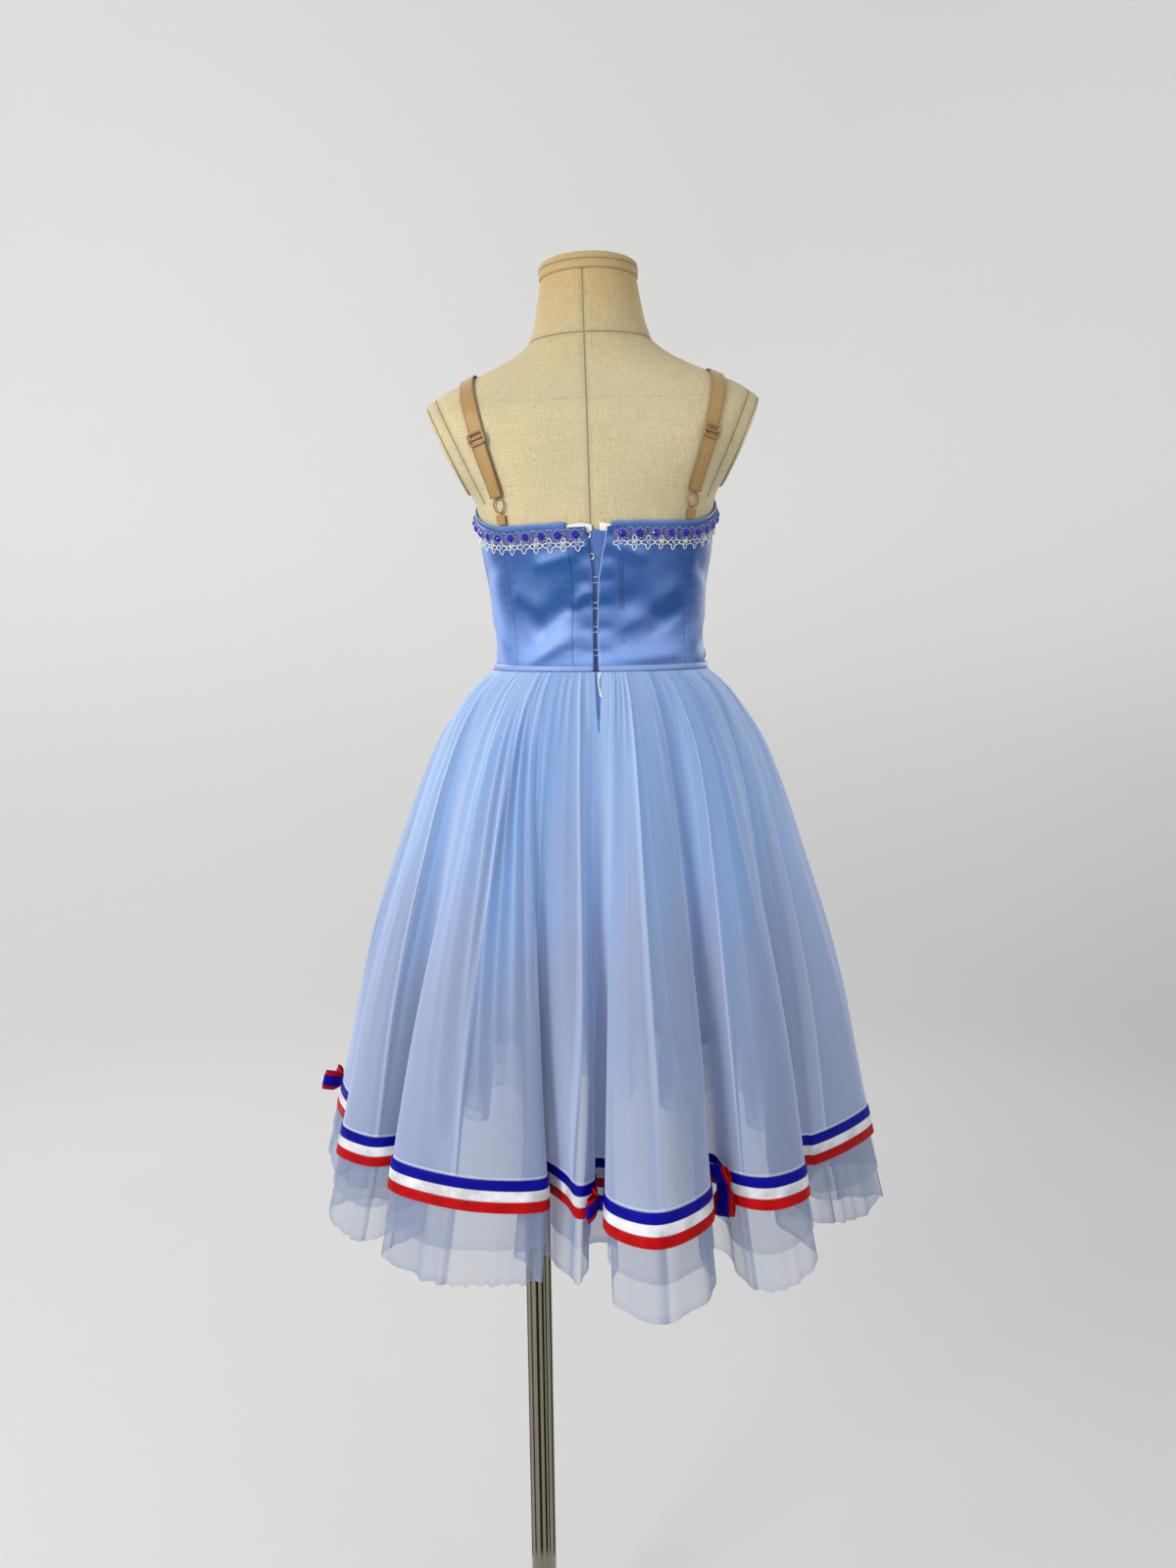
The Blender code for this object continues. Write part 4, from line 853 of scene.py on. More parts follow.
@once
def cord_yarn(name, word):
    """Rayon or cotton cord with a soft twist."""
    base = getattr(colours(), word)
    if word == "lace":
        base = [channel * 1.5 + 0.20 for channel in base]
    made = Finish(name, base, 0.6, Sheen_Weight=0.3, Sheen_Roughness=0.4)
    clouds = soft_clouds(made, 900.0, 1.0)
    made.tint(clouds, 0.82, 1.10)
    made.bump(clouds, 0.0002, 0.6)
    return made


@once
def cotton_tape(name):
    """Soft white cotton tape with a plain weave."""
    made = Finish(name, colours().cotton, 0.8, Sheen_Weight=0.15)
    height, threads = woven_threads(made, made.place(), 2200.0, 0.8)
    made.tint(threads, 0.86, 1.08)
    made.bump(height, 0.00012, 0.7)
    return made


@once
def elastic(name):
    """Tan satin elastic with close cross ribs and dull edges."""
    made = Finish(name, colours().strap, 0.42, Sheen_Weight=0.15, Sheen_Roughness=0.4,
                  Sheen_Tint=(1.0, 0.86, 0.68, 1.0))
    middle = made.field("edge").spread(0.0, 0.22)
    made.tint(middle * 0.5 + soft_clouds(made, 60.0, 1.0) * 0.5, 0.70, 1.30)
    made.bump(made.ribs(1, 0.0007, middle), 0.00010, 0.7)
    return made


@once
def coated_wire(name):
    """Nylon-coated wire, smooth, with worn lighter spots."""
    made = Finish(name, colours().coating, 0.28, Coat_Weight=0.4, Coat_Roughness=0.15)
    made.tint(soft_clouds(made, 150.0, 1.0), 0.85, 1.25)
    return made


@once
def bright_metal(name, word):
    """Chrome or steel with faint cloudy wear."""
    rough = {"chrome": 0.10, "steel": 0.26}[word]
    made = Finish(name, getattr(colours(), word), rough, 1.0)
    clouds = soft_clouds(made, 55.0, 1.0)
    made.tint(clouds, 0.92, 1.06)
    made.feed("Roughness", clouds.spread(0.2, 0.9, rough * 0.8, rough * 1.7))
    return made


@once
def cut_stone(name, word):
    """Faceted glass: deep blue, or clear with a coating that turns from gold to green."""
    base = {"blue": colours().stone, "gold": (0.62, 0.60, 0.36)}[word]
    made = Finish(name, base, 0.12, Coat_Weight=0.5, Coat_Roughness=0.05, Specular_IOR_Level=0.4)
    hue = made.field("facet")
    if word == "blue":
        made.tint(hue, 0.40, 1.5)
    else:
        turning = node(made.tree, "ShaderNodeValToRGB", (("Fac", hue),))
        stops = turning.color_ramp.elements
        stops[0].color, stops[1].color = (0.80, 0.74, 0.08, 1), (0.55, 0.60, 0.78, 1)
        for at, tint in ((0.3, (0.16, 0.58, 0.22, 1)), (0.5, (0.85, 0.80, 0.70, 1)),
                         (0.7, (0.75, 0.40, 0.10, 1))):
            stops.new(at).color = tint
        made.feed("Base Color", Value(turning.outputs["Color"]))
    return made


@once
def studio_paint(name):
    """Matt pale paint with the faintest unevenness. It glows a little in its own colour, and it is darker
    low down and lighter towards +X: painted light and shade.
    """
    base = colours().studio
    made = Finish(name, base, 0.9, Specular_IOR_Level=0.2, Emission_Color=opaque(base),
                  Emission_Strength=0.30)
    x, _, z = room_place(made.tree).sides()
    # Painted shade towards the floor and painted light towards +X, the key lamp's side.
    share = (z.spread(-0.3, 1.7, 0.0, 0.55)
             + (soft_clouds(made, 1.5, 0.6) * 0.05 + x.spread(-2.4, 1.8, 0.0, 0.40)))
    made.tint(share, 0.51, 1.04)
    return made


# ---- The form's own shape ----

def form_points(degrees, heights, out=0.0):
    """Points on the form, or out from it, upright in the form's own frame at the waist."""
    half_width, half_depth, back, square = np.moveaxis(rows_at(FORM_SECTIONS, heights), -1, 0)
    angle = np.radians(degrees)
    x = (half_width + out) * signed_power(np.cos(angle), 2 / square)
    y = back + (half_depth + out) * signed_power(np.sin(angle), 2 / square)
    return spots_at(x, y, heights)


def in_room(points):
    """Points of the tilted form's own frame, placed in the room."""
    x, y, z = np.moveaxis(np.asarray(points, dtype=float), -1, 0)
    lean, fall = math.cos(FORM_TILT), math.sin(FORM_TILT)
    return spots_at(FORM_OFFSET_X + lean * x + fall * z, y, WAIST_HEIGHT - fall * x + lean * z)


def move_to_room(mesh, points):
    """Moves a mesh's points, given in the form's own frame, to their places in the room."""
    mesh.vertices.foreach_set("co", in_room(points).astype(np.float32).ravel())
    mesh.update()


def back_degrees(x, heights):
    """The angle at which the back of the form is at this x."""
    half_width, _, _, square = np.moveaxis(rows_at(FORM_SECTIONS, heights), -1, 0)
    return np.degrees(np.arccos(signed_power(x / half_width, square / 2)))


def arm_plane(side):
    """A point on the slanting plane of one armhole, and the plane's outward normal."""
    point = Vector((side * ARM_PLANE_X, 0.0, ARM_PLANE_HEIGHT))
    return point, Vector((side, 0.0, -ARM_PLANE_SLOPE)).normalized()


def seam_distances(points):
    """How far points of the form are from its nearest upright, collar and arm seams."""
    x, y, z = points[:, 0], points[:, 1], points[:, 2]
    upright = np.where(y > 0, x - CENTRE_SEAM_X, x + CENTRE_SEAM_X)
    collar = z - COLLAR_SEAM_HEIGHT
    ridge = np.where((z > 0.21) & (z < COLLAR_SEAM_HEIGHT), y + 0.008, 1.0)
    level = np.where(np.abs(ridge) < np.abs(collar), ridge, collar)
    arms = []
    for side in (1, -1):
        place, normal = arm_plane(side)
        arms.append((points - np.array(place)) @ np.array(normal) + ARM_SEAM_INSET)
    arm = np.where(np.abs(arms[0]) < np.abs(arms[1]), arms[0], arms[1])
    arm = np.where(z > ARMHOLE_LOWEST - 0.012, arm, 1.0)
    return np.stack((upright, level, arm), axis=1)


def put_flat_places(mesh, points, across=0, down=2):
    """Weave places read straight from two sides of each point, for small pieces."""
    corners = np.empty(len(mesh.loops), dtype=np.int32)
    mesh.loops.foreach_get("vertex_index", corners)
    places = spots_at(points[corners, across], points[corners, down], 0.0)
    put_places(mesh, "cloth", "CORNER", places)


def turned(name, profile, finish, centre=(0.0, 0.0), segments=96, stretch=(1.0, 1.0)):
    """A solid turned about an upright axis from (radius, height) pairs, upwards."""
    profile = np.array(profile)
    angle, radius = full_turn(segments), profile[:, :1]
    points = spots_at(centre[0] + radius * stretch[0] * np.cos(angle),
                      centre[1] + radius * stretch[1] * np.sin(angle), profile[:, 1:])
    return new_mesh(name, points.reshape(-1, 3), closed_faces(len(profile), segments, True), finish,
                    crease_angle=35)


def rounded(corners, radius, steps=5):
    """A profile of (radius, height) pairs with its inner corners rounded."""
    corners = np.array(corners, dtype=float)
    profile = [corners[0]]
    for before, corner, after in zip(corners, corners[1:], corners[2:]):
        reach = min(radius, 0.45 * np.linalg.norm(before - corner),
                    0.45 * np.linalg.norm(after - corner))
        start, end = corner + unit(before - corner) * reach, corner + unit(after - corner) * reach
        for share in np.linspace(0, 1, steps):
            profile.append(start * (1 - share)**2 + corner * 2 * share * (1 - share) + end * share**2)
    profile.append(corners[-1])
    return np.array(profile)


def torso_points(columns):
    """Rows of points over the padded torso, with soft dips along its seams and slight dents."""
    top = FORM_SECTIONS[-1][0]
    heights = np.concatenate([np.arange(-0.200, 0.112, 0.008), np.arange(0.114, top, 0.0023), [top]])
    degrees = 360.0 * np.arange(columns) / columns
    grid = form_points(degrees[None, :], heights[:, None])
    flat = grid.reshape(-1, 3)
    away = np.abs(seam_distances(flat)).min(axis=1).reshape(grid.shape[:2])
    dip = -0.0006 * np.exp(-(away / 0.0028) ** 2) + 0.0002 * np.exp(-((away - 0.008) / 0.004) ** 2)
    soft = 0.0004 * np.sin(flat[:, 0] * 61 + 1.3).reshape(away.shape)
    soft = soft * np.sin(flat[:, 2] * 83 + 0.4).reshape(away.shape)
    around = np.roll(grid, -1, axis=1) - np.roll(grid, 1, axis=1)
    normals = unit(np.cross(around, np.gradient(grid, axis=0)))
    return grid + normals * ((dip + soft) * ramp(heights, 0.10, 0.13)[:, None])[..., None]


TORSO_CREASE = 50


def make_torso():
    """The linen torso, cut flat at both armholes. Returns each armhole's rim."""
    columns = 248
    grid = torso_points(columns)
    piece = new_mesh("form_cover", grid.reshape(-1, 3), closed_faces(len(grid), columns, True),
                     linen(), crease_angle=TORSO_CREASE)
    body = bmesh.new()
    body.from_mesh(piece.data)
    rims = []
    for side in (1, -1):
        place, normal = arm_plane(side)
        points = [vertex for vertex in body.verts if vertex.co.z > ARMHOLE_LOWEST]
        above = set(points)
        edges = [edge for edge in body.edges if above.issuperset(edge.verts)]
        sides = [face for face in body.faces if above.issuperset(face.verts)]
        bmesh.ops.bisect_plane(body, geom=points + edges + sides, plane_co=place,
                               plane_no=normal, clear_outer=True, dist=1e-6)
        open_edges = [edge for edge in body.edges if edge.is_boundary]
        filled = bmesh.ops.edgeloop_fill(body, edges=open_edges)["faces"][0]
        rims.append((np.array([tuple(v.co) for v in filled.verts]), np.array(normal), side))
    body.to_mesh(piece.data)
    body.free()
    piece.data.set_sharp_from_angle(angle=math.radians(TORSO_CREASE))
    points = points_of(piece.data)
    put_places(piece.data, "seams", "POINT", seam_distances(points))
    place_form_weave(piece.data, points)
    move_to_room(piece.data, points)
    return piece, rims


def place_form_weave(mesh, points):
    """The linen's threads on the form: level and upright, easing round the sides and shoulders."""
    depth = 0.045 - np.abs(points[:, 1])
    across = points[:, 0] + np.sign(points[:, 0]) * np.maximum(depth, 0.0) * 0.8
    down = points[:, 2] + np.where(points[:, 2] > 0.25, depth, 0.0) * 0.6
    put_flat_places(mesh, np.stack((across, down), axis=1), 0, 1)


def make_arm_plate(rim, normal, side):
    """A padded plate over one armhole, with a rounded rim and a slightly domed face."""
    middle = rim.mean(axis=0)
    # share of the rim's size, height above the armhole's plane
    profile = [(0.90, 0.3 * MM), (0.965, 0.3 * MM), (0.985, 0.8 * MM), (0.990, 1.5 * MM),
               (0.982, 2.1 * MM), (0.965, 2.5 * MM), (0.90, 3.0 * MM), (0.75, 3.7 * MM),
               (0.55, 4.3 * MM), (0.30, 4.6 * MM), (0.08, 4.7 * MM)]
    rows = np.array([middle + (rim - middle) * share + normal * up for share, up in profile])
    points = rows.reshape(-1, 3)
    word = "left" if side > 0 else "right"
    piece = joined(f"arm_plate_{word}", [(in_room(points), closed_faces(len(profile), len(rim)))],
                   linen())
    put_places(piece.data, "seams", "POINT", np.ones_like(points))
    put_flat_places(piece.data, points, across=1)
    return settle(piece, "linen", f"form_arm_plate_{word}")


def make_neck_cap():
    """The linen cap on the neck, stretched over a board, with its rim seam."""
    _, half_width, half_depth, back, _ = FORM_SECTIONS[-1]
    bottom = FORM_SECTIONS[-1][0] + 0.3 * MM
    profile = rounded([(0.60, 0.0), (0.995, 0.0), (1.030, 1.6 * MM), (1.038, 7.5 * MM),
                       (1.022, 13.0 * MM), (0.92, 16.4 * MM), (0.62, 18.0 * MM),
                       (0.05, 18.6 * MM)], 0.05)
    cap = turned("neck_cap", [(share, bottom + up) for share, up in profile], linen(),
                 centre=(0.0, back), segments=128, stretch=(half_width, half_depth))
    points = points_of(cap.data)
    rim = points[:, 2] - (bottom + 8.3 * MM)
    put_places(cap.data, "seams", "POINT", spots_at(rim, 1.0, 1.0))
    put_flat_places(cap.data, points + points[:, 1:2] * (0.0, 0.0, 0.8))
    move_to_room(cap.data, points)
    return settle(cap, "linen", "form_neck_cap")


def make_stand():
    """The polished pole and base, and the steel socket under the form."""
    (_, base), (pole_low, pole), (socket_low, socket) = (
        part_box(f"stand_{word}") for word in ("base", "pole", "socket"))
    neck = socket.x - 2.0 * MM
    parts = (
        # name, solid, finish, segments, rounding, then the (radius, height) corners upwards
        ("round_base", "base", "chrome", 160, 1.6 * MM,
         [(base.x * 0.5, 0.0), (base.x - 1.0 * MM, 0.0), (base.x, 1.2 * MM), (base.x, base.z * 0.7),
          (base.x - 2.4 * MM, base.z - 0.3 * MM), (base.x * 0.25, base.z)]),
        ("pole", "pole", "chrome", 72, 0.6 * MM,
         [(pole.x * 0.6, pole_low.z), (pole.x, pole_low.z), (pole.x, pole.z),
          (pole.x * 0.6, pole.z)]),
        ("socket", "socket", "steel", 72, 1.2 * MM,
         [(pole.x + 1.0 * MM, socket_low.z), (pole.x + 5.0 * MM, socket_low.z),
          (neck, socket_low.z + 4.0 * MM), (neck, socket.z - 6.0 * MM),
          (socket.x, socket.z - 4.0 * MM), (socket.x, socket.z), (pole.x, socket.z)]),
    )
    for name, word, finish, segments, radius, corners in parts:
        piece = turned(name, rounded(corners, radius), bright_metal(finish), segments=segments)
        settle(piece, finish, f"stand_{word}")


# ---- The skirt's shape ----

def closed_curve(points, steps):
    """A smooth closed curve through points, paced by the square root of their distances."""
    p0, p1, p2, p3 = (np.roll(points, -k, axis=0)[:, None] for k in (-1, 0, 1, 2))
    t1 = np.sqrt(np.linalg.norm(p1 - p0, axis=-1, keepdims=True))
    t2 = t1 + np.sqrt(np.linalg.norm(p2 - p1, axis=-1, keepdims=True))
    t3 = t2 + np.sqrt(np.linalg.norm(p3 - p2, axis=-1, keepdims=True))
    t = t1 + (t2 - t1) * (np.arange(steps) / steps)[None, :, None]
    a1 = p0 + (p1 - p0) * t / t1
    a2 = p1 + (p2 - p1) * (t - t1) / (t2 - t1)
    a3 = p2 + (p3 - p2) * (t - t2) / (t3 - t2)
    b1 = a1 + (a2 - a1) * t / t2
    b2 = a2 + (a3 - a2) * (t - t1) / (t3 - t1)
    return (b1 + (b2 - b1) * (t - t1) / (t2 - t1)).reshape(-1, points.shape[1])


def fold_controls():
    """The hem curve's own points (x, y), each with its home angle at the waist in degrees."""
    crowns = [fold[3] for fold in HEM_FOLDS]
    controls = []
    for place, fold in enumerate(HEM_FOLDS):
        before = crowns[place - 1] - (360 if place == 0 else 0)
        after = crowns[(place + 1) % len(crowns)] + (360 if fold is HEM_FOLDS[-1] else 0)
        low, crown, high = (before + fold[3]) / 2, fold[3], (after + fold[3]) / 2
        homes = (crown - (crown - low) * 0.7, crown, crown + (high - crown) * 0.7)
        for home, degrees, reach in zip(homes, fold[1:7:2], fold[2:7:2]):
            angle = math.radians(degrees)
            controls.append((reach * math.cos(angle), reach * math.sin(angle), home))
        angle = math.radians(fold[7])
        for turn in (-1, 1):
            controls.append((fold[8] * math.cos(angle) - turn * fold[9] * math.sin(angle),
                             fold[8] * math.sin(angle) + turn * fold[9] * math.cos(angle),
                             high + turn * (high - crown) * 0.06))
    return np.array(controls)


def read_round(curve, places):
    """Points of a closed curve of (x, y, home degrees) at fractional places along it."""
    count = len(curve)
    ends = np.concatenate([curve, curve[:1] + np.array((0.0, 0.0, 360.0))])
    turns, places = np.divmod(places, count)
    columns = [np.interp(places, np.arange(count + 1), ends[:, k]) for k in range(3)]
    columns[2] = columns[2] + 360.0 * turns
    return np.stack(columns, axis=-1)


def hem_curve():
    """The hem in plan at fine even steps, and the place of each of its own points among them."""
    controls = fold_controls()
    curve = closed_curve(controls[:, :2], CURVE_STEPS)
    homes = np.interp(np.arange(len(curve)) / CURVE_STEPS, np.arange(len(controls) + 1),
                      np.append(controls[:, 2], controls[0, 2] + 360))
    length = lengths_along(curve, closed=True)
    curve = np.column_stack([curve, homes])
    count = round(length[-1] / HEM_STEP)
    steps = np.interp(np.linspace(0.0, length[-1], count, endpoint=False), length,
                      np.arange(len(length)))
    return read_round(curve, steps), length[:-1:CURVE_STEPS] * count / length[-1]


def eased(curve, width):
    """The closed curve with its bends eased over a width along it."""
    even = np.outer(np.linspace(0.0, 360.0, len(curve), endpoint=False), (0.0, 0.0, 1.0))
    waves = np.fft.fftfreq(len(curve), HEM_STEP)
    soften = np.exp(-2 * (math.pi * waves * width) ** 2)[:, None]
    return np.fft.ifft(np.fft.fft(curve - even, axis=0) * soften, axis=0).real + even


def skirt_level(curve, places, drop):
    """The skirt's plan at one drop below the waist, and each column's home angle there."""
    level = min(drop, SKIRT_DROP)
    growth = level / SKIRT_DROP
    width = HEM_SMOOTHING + (WAIST_SMOOTHING - HEM_SMOOTHING) * (1 - growth) ** 1.5
    columns = read_round(eased(curve, width), places)
    spread = float(rows_at(SKIRT_SPREAD, level)[0])
    home = np.radians(columns[:, 2])
    round_way = np.column_stack([np.cos(home), np.sin(home)])
    mean_hem = round_way * (HEM_HALF_WIDTH, HEM_HALF_DEPTH)
    waist = signed_power(round_way, 2 / WAIST_SQUARENESS) * (WAIST_HALF_WIDTH, WAIST_HALF_DEPTH)
    plan = waist + (mean_hem - waist) * spread + (columns[:, :2] - mean_hem) * growth
    return plan * (1 + HEM_FLARE * (drop - level)), columns[:, 2]


def moved_out(outline, reach):
    """A closed outline moved outwards, square to its sides, each point by its own reach."""
    ahead = unit(np.roll(outline, -1, axis=0) - np.roll(outline, 1, axis=0))
    out = np.column_stack([ahead[:, 1], -ahead[:, 0]])
    return outline + out * np.asarray(reach)[:, None]


# ---- The skirt's folds and layers ----

def folds(share, count, drift, seed, detail):
    """Rounded folds round the skirt, which wander a little: 0 between them and 1 on them."""
    return 0.5 + 0.5 * np.sin(2 * math.pi * (share * count + drift * wandering(share, seed, detail)))


def fine_gathers(share, drop, seed):
    """How far the fine gathers stand up at a drop, for each column's share of the waist."""
    swell = np.clip(0.55 + 0.55 * wandering(share, seed + 1, 26), 0.05, 1.6)
    rise = ramp(drop, 0.001, 0.012) * (1 - ramp(drop, 0.020, 0.085))
    ridge = folds(share, sizes().gather_count, 0.9, seed, 30) ** 1.4
    return sizes().gather_depth * rise * swell * ridge


def middle_folds(share, drop, seed):
    """Wider folds that grow out of the gathers and sink into the hem's own folds."""
    swell = np.clip(0.6 + 0.6 * wandering(share, seed + 1, 14), 0.0, 1.8)
    rise = ramp(drop, 0.012, 0.085) * (1 - ramp(drop, 0.23, 0.45))
    return 0.0048 * rise * swell * folds(share, 22, 1.2, seed, 12) ** 1.6


def crisp_pleats(share, drop, girth, seed, count, height):
    """Long sharp creases: each stands on one side and falls away softly on the other."""
    draw = np.random.default_rng(seed)
    middles = (np.arange(count) + draw.uniform(0.1, 0.9, count)) / count
    tops = draw.uniform(0.004, 0.06, count)
    feet = draw.uniform(0.22, 0.60, count)
    heights = height * draw.uniform(0.55, 1.25, count)
    leans = draw.choice((-1.0, 1.0), count)
    drifts = draw.uniform(-0.012, 0.012, count)
    total = np.zeros_like(share)
    for middle, top, foot, tall, lean, drift in zip(middles, tops, feet, heights, leans, drifts):
        away = (share - middle - drift * drop / SKIRT_DROP + 0.5) % 1.0 - 0.5
        away = away * girth * lean
        wide = 0.005 + 0.030 * drop / SKIRT_DROP
        steep = 0.0014 + 0.0024 * drop / SKIRT_DROP
        shape = np.where(away > 0, np.exp(-away / wide), np.exp(-(away / steep) ** 2))
        fade = ramp(drop, top, top + 0.03) * (1 - ramp(drop, foot - 0.10, foot))
        total = np.maximum(total, tall * fade * shape)
    return total


def layer_rows(top, hem, count):
    """Drops below the waist for a layer's rows, closer together under the waist."""
    share = np.linspace(0.0, 1.0, count)
    return top + (hem - top) * (0.55 * share + 0.45 * share**2)


def cloth_layer(curve, start, columns, drops, reach, slit):
    """Rows of points of one layer, its columns' shares of the waist and each row's lengths."""
    step = len(curve) / columns
    places = (start + np.arange(columns) * step) % len(curve)
    _, waist_homes = skirt_level(curve, places, SKIRT_TOP_DROP)
    share = waist_homes / 360.0
    rows = []
    for drop in drops:
        plan, _ = skirt_level(curve, places, drop)
        steps = np.linalg.norm(np.roll(plan, -1, axis=0) - plan, axis=1)
        girth = steps.sum()
        moved = moved_out(plan, reach(share, drop, girth))
        if slit and drop < slit:
            along = np.concatenate([[0.0], np.cumsum(steps)[:-1]])
            away = np.where(along > girth / 2, along - girth, along + 1e-6)
            ahead = unit(np.roll(plan, -1, axis=0) - np.roll(plan, 1, axis=0))
            gap = 0.0030 * (1 - drop / slit) ** 0.7
            shift = np.sign(away) * gap * np.exp(-(away / 0.020) ** 2)
            moved = moved + ahead * shift[:, None]
        rows.append(np.column_stack([moved + (FORM_OFFSET_X, 0.0),
                                     np.full(columns, WAIST_HEIGHT - drop)]))
    kept = np.ones((len(drops) - 1, columns), dtype=bool)
    kept[:, -1] = np.asarray(drops[1:]) > (slit or 0.0)
    return np.array(rows), share, kept


def overlay_reach(share, drop, girth):
    """How far the overlay's gathers and pleats stand out from its plan."""
    return (fine_gathers(share, drop, 11) + middle_folds(share, drop, 13)
            + crisp_pleats(share, drop, girth, 17, 18, 0.0036))


def hem_flutes(share, drop, seed):
    """The small waves of a raw hem, which die out upwards."""
    swell = np.clip(0.5 + 0.6 * wandering(share, seed + 1, 13), 0.0, 1.4)
    return 0.0045 * ramp(drop, 0.42, 0.545) * swell * folds(share, 40, 2.4, seed, 11)


def upper_reach(share, drop, girth):
    return -LAYER_STEP - (fine_gathers(share, drop, 23) + middle_folds(share, drop, 29)
                          + crisp_pleats(share, drop, girth, 31, 15, 0.0034)
                          + hem_flutes(share, drop, 47))


def lower_reach(share, drop, girth):
    return upper_reach(share, drop, girth) - LAYER_STEP - (
        0.8 * fine_gathers(share, drop, 37) + middle_folds(share, drop, 41)
        + crisp_pleats(share, drop, girth, 43, 13, 0.0030) + hem_flutes(share, drop, 53))


def back_start(curve):
    """The place along the hem's curve whose column meets the waist at the back opening."""
    places = np.arange(len(curve), dtype=float)
    plan, _ = skirt_level(curve, places, SKIRT_TOP_DROP)
    behind = plan[:, 1] > 0
    return float(np.argmin(np.where(behind, np.abs(plan[:, 0] - SLIT_X), 1.0)))


def make_layer(name, solid, curve, columns, drops, reach, density, finish, slit, wave=0.0):
    """One tulle layer, as a thin sheet with its own density and colour down its length."""
    grid, share, kept = cloth_layer(curve, back_start(curve), columns, drops, reach, slit)
    if wave:
        near = ramp(np.asarray(drops), 0.30, drops[-1])[:, None]
        grid[..., 2] += wave * near * wandering(share, len(name), 15)[None, :]
    across = np.linspace(0.0, len(curve) * HEM_STEP, columns + 1)
    down = np.repeat(np.asarray(drops)[:, None], columns, axis=1)
    thick = np.interp(drops, *zip(*density))[:, None]
    patch = 1 + 0.14 * wandering(share, 50 + len(name), 24)[None, :]
    edge = np.where(np.asarray(drops) > drops[-1] - 0.0016, 0.14, 0.0)[:, None]
    piece = add_cloth(name, grid, finish, closed=True, across=across, down=down, kept=kept,
                      cover=thick * patch + edge, fall=ramp(np.asarray(drops), 0.02, 0.46)[:, None])
    settle(piece, "tulle", solid)
    return piece


def make_ribbon(name, word, solid, curve, start_drop):
    """One of the three narrow ribbons sewn round the overlay's hem."""
    width = sizes().ribbon_width
    drops = start_drop + width * np.array([0.0, 0.03, 0.12, 0.35, 0.65, 0.88, 0.97, 1.0])
    columns = round(len(curve) * HEM_STEP / 0.0029)
    edge = np.minimum(drops - drops[0], drops[-1] - drops) / width

    def reach(share, drop, girth):
        inset = min(drop - drops[0], drops[-1] - drop) / width
        crown = 0.00035 * math.sqrt(max(min(inset / 0.12, 1.0), 0.0))
        pucker = 0.00022 * np.sin(share * 2 * math.pi * 240 + 5 * wandering(share, 61, 20))
        return 0.0009 + overlay_reach(share, drop, girth) + crown + pucker * (inset > 0.08)

    grid, _, _ = cloth_layer(curve, back_start(curve), columns, drops, reach, None)
    across = np.linspace(0.0, len(curve) * HEM_STEP, columns + 1)
    down = np.repeat((drops - drops[0])[:, None], columns, axis=1)
    piece = add_cloth(name, grid, ribbon_satin(word), closed=True, across=across, down=down,
                      thickness=0.0004, edge=edge[:, None])
    settle(piece, f"ribbon_{word}", solid)
    return piece


# ---- The bodice's shape ----

def bodice_top(degrees):
    """The height of the bodice's top edge above the waist: low at the back, steep at the sides."""
    front = (1 - np.sin(np.radians(degrees))) / 2
    return BODICE_TOP_BACK + BODICE_TOP_RISE * ramp(front, BODICE_TOP_TURN, 1.0)


def bodice_clearance(degrees):
    """How far the panels stand off the form: more where the hooks lie under them."""
    away = np.abs((np.asarray(degrees) - 90 + 180) % 360 - 180)
    share = np.clip((away - 14) / 14, 0.0, 1.0)
    return BACK_POCKET_CLEARANCE + (SIDE_CLEARANCE - BACK_POCKET_CLEARANCE) * share


def level_cut(degrees):
    """The bodice's lower edge in the tilted form's frame, so that it is level in the room."""
    return form_points(degrees, np.zeros_like(degrees))[..., 0] * math.tan(FORM_TILT)


def edge_degrees(side, height, inset=0.0):
    """The angle of one back edge at a height, or inset from it."""
    left, right = rows_at(BACK_EDGES, height)
    return float(back_degrees(left + inset if side > 0 else right - inset, height))


def panel_sides():
    """Each panel's name and its two side edges' angles at a height, round from the back's middle."""
    def seam(degrees):
        return lambda height: degrees
    names = ("back_right", "side_right", "front", "side_left", "back_left", "placket_left")
    edges = (lambda height: edge_degrees(-1, height), seam(180 - SIDE_BACK_SEAM),
             seam(180 - SIDE_FRONT_SEAM), seam(360 + SIDE_FRONT_SEAM), seam(360 + SIDE_BACK_SEAM),
             lambda height: 360 + edge_degrees(1, height, PLACKET_WIDTH),
             lambda height: 360 + edge_degrees(1, height))
    return list(zip(names, edges, edges[1:]))


def line_ridge(degrees, heights, line):
    """One soft crease between two places of the satin. Its lower side is the steeper one."""
    start_turn, start_height, end_turn, end_height, width, height = line
    run, rise = (end_turn - start_turn) * METRES_PER_DEGREE, end_height - start_height
    length = math.hypot(run, rise)
    over = ((degrees - start_turn + 180) % 360 - 180) * METRES_PER_DEGREE
    up = heights - start_height
    along = (over * run + up * rise) / length**2
    away = (up * run - over * rise) / length
    wide = np.where(away > 0, width * 1.35, width)
    fade = ramp(along, -0.12, 0.22) * (1 - ramp(along, 0.72, 1.12))
    return height * fade * np.exp(-(away / wide) ** 2)


def satin_creases(degrees, heights):
    """The drag creases of the fitted satin in each panel."""
    total = np.zeros(np.broadcast(degrees, heights).shape)
    for line in SATIN_CREASES:
        total += line_ridge(degrees, heights, line)
    return total * sizes().crease_depth


def edge_puckers(away, heights, turn, depth=0.00045):
    """The small pulls beside a sewn seam, which die away from it."""
    dip = -depth * np.exp(-(away / 0.0013) ** 2)
    pull = 0.00007 * np.sin(2 * math.pi * heights / 0.0087 + turn) * np.exp(-away / 0.008)
    return dip + pull * (1 - np.exp(-(away / 0.002) ** 2))


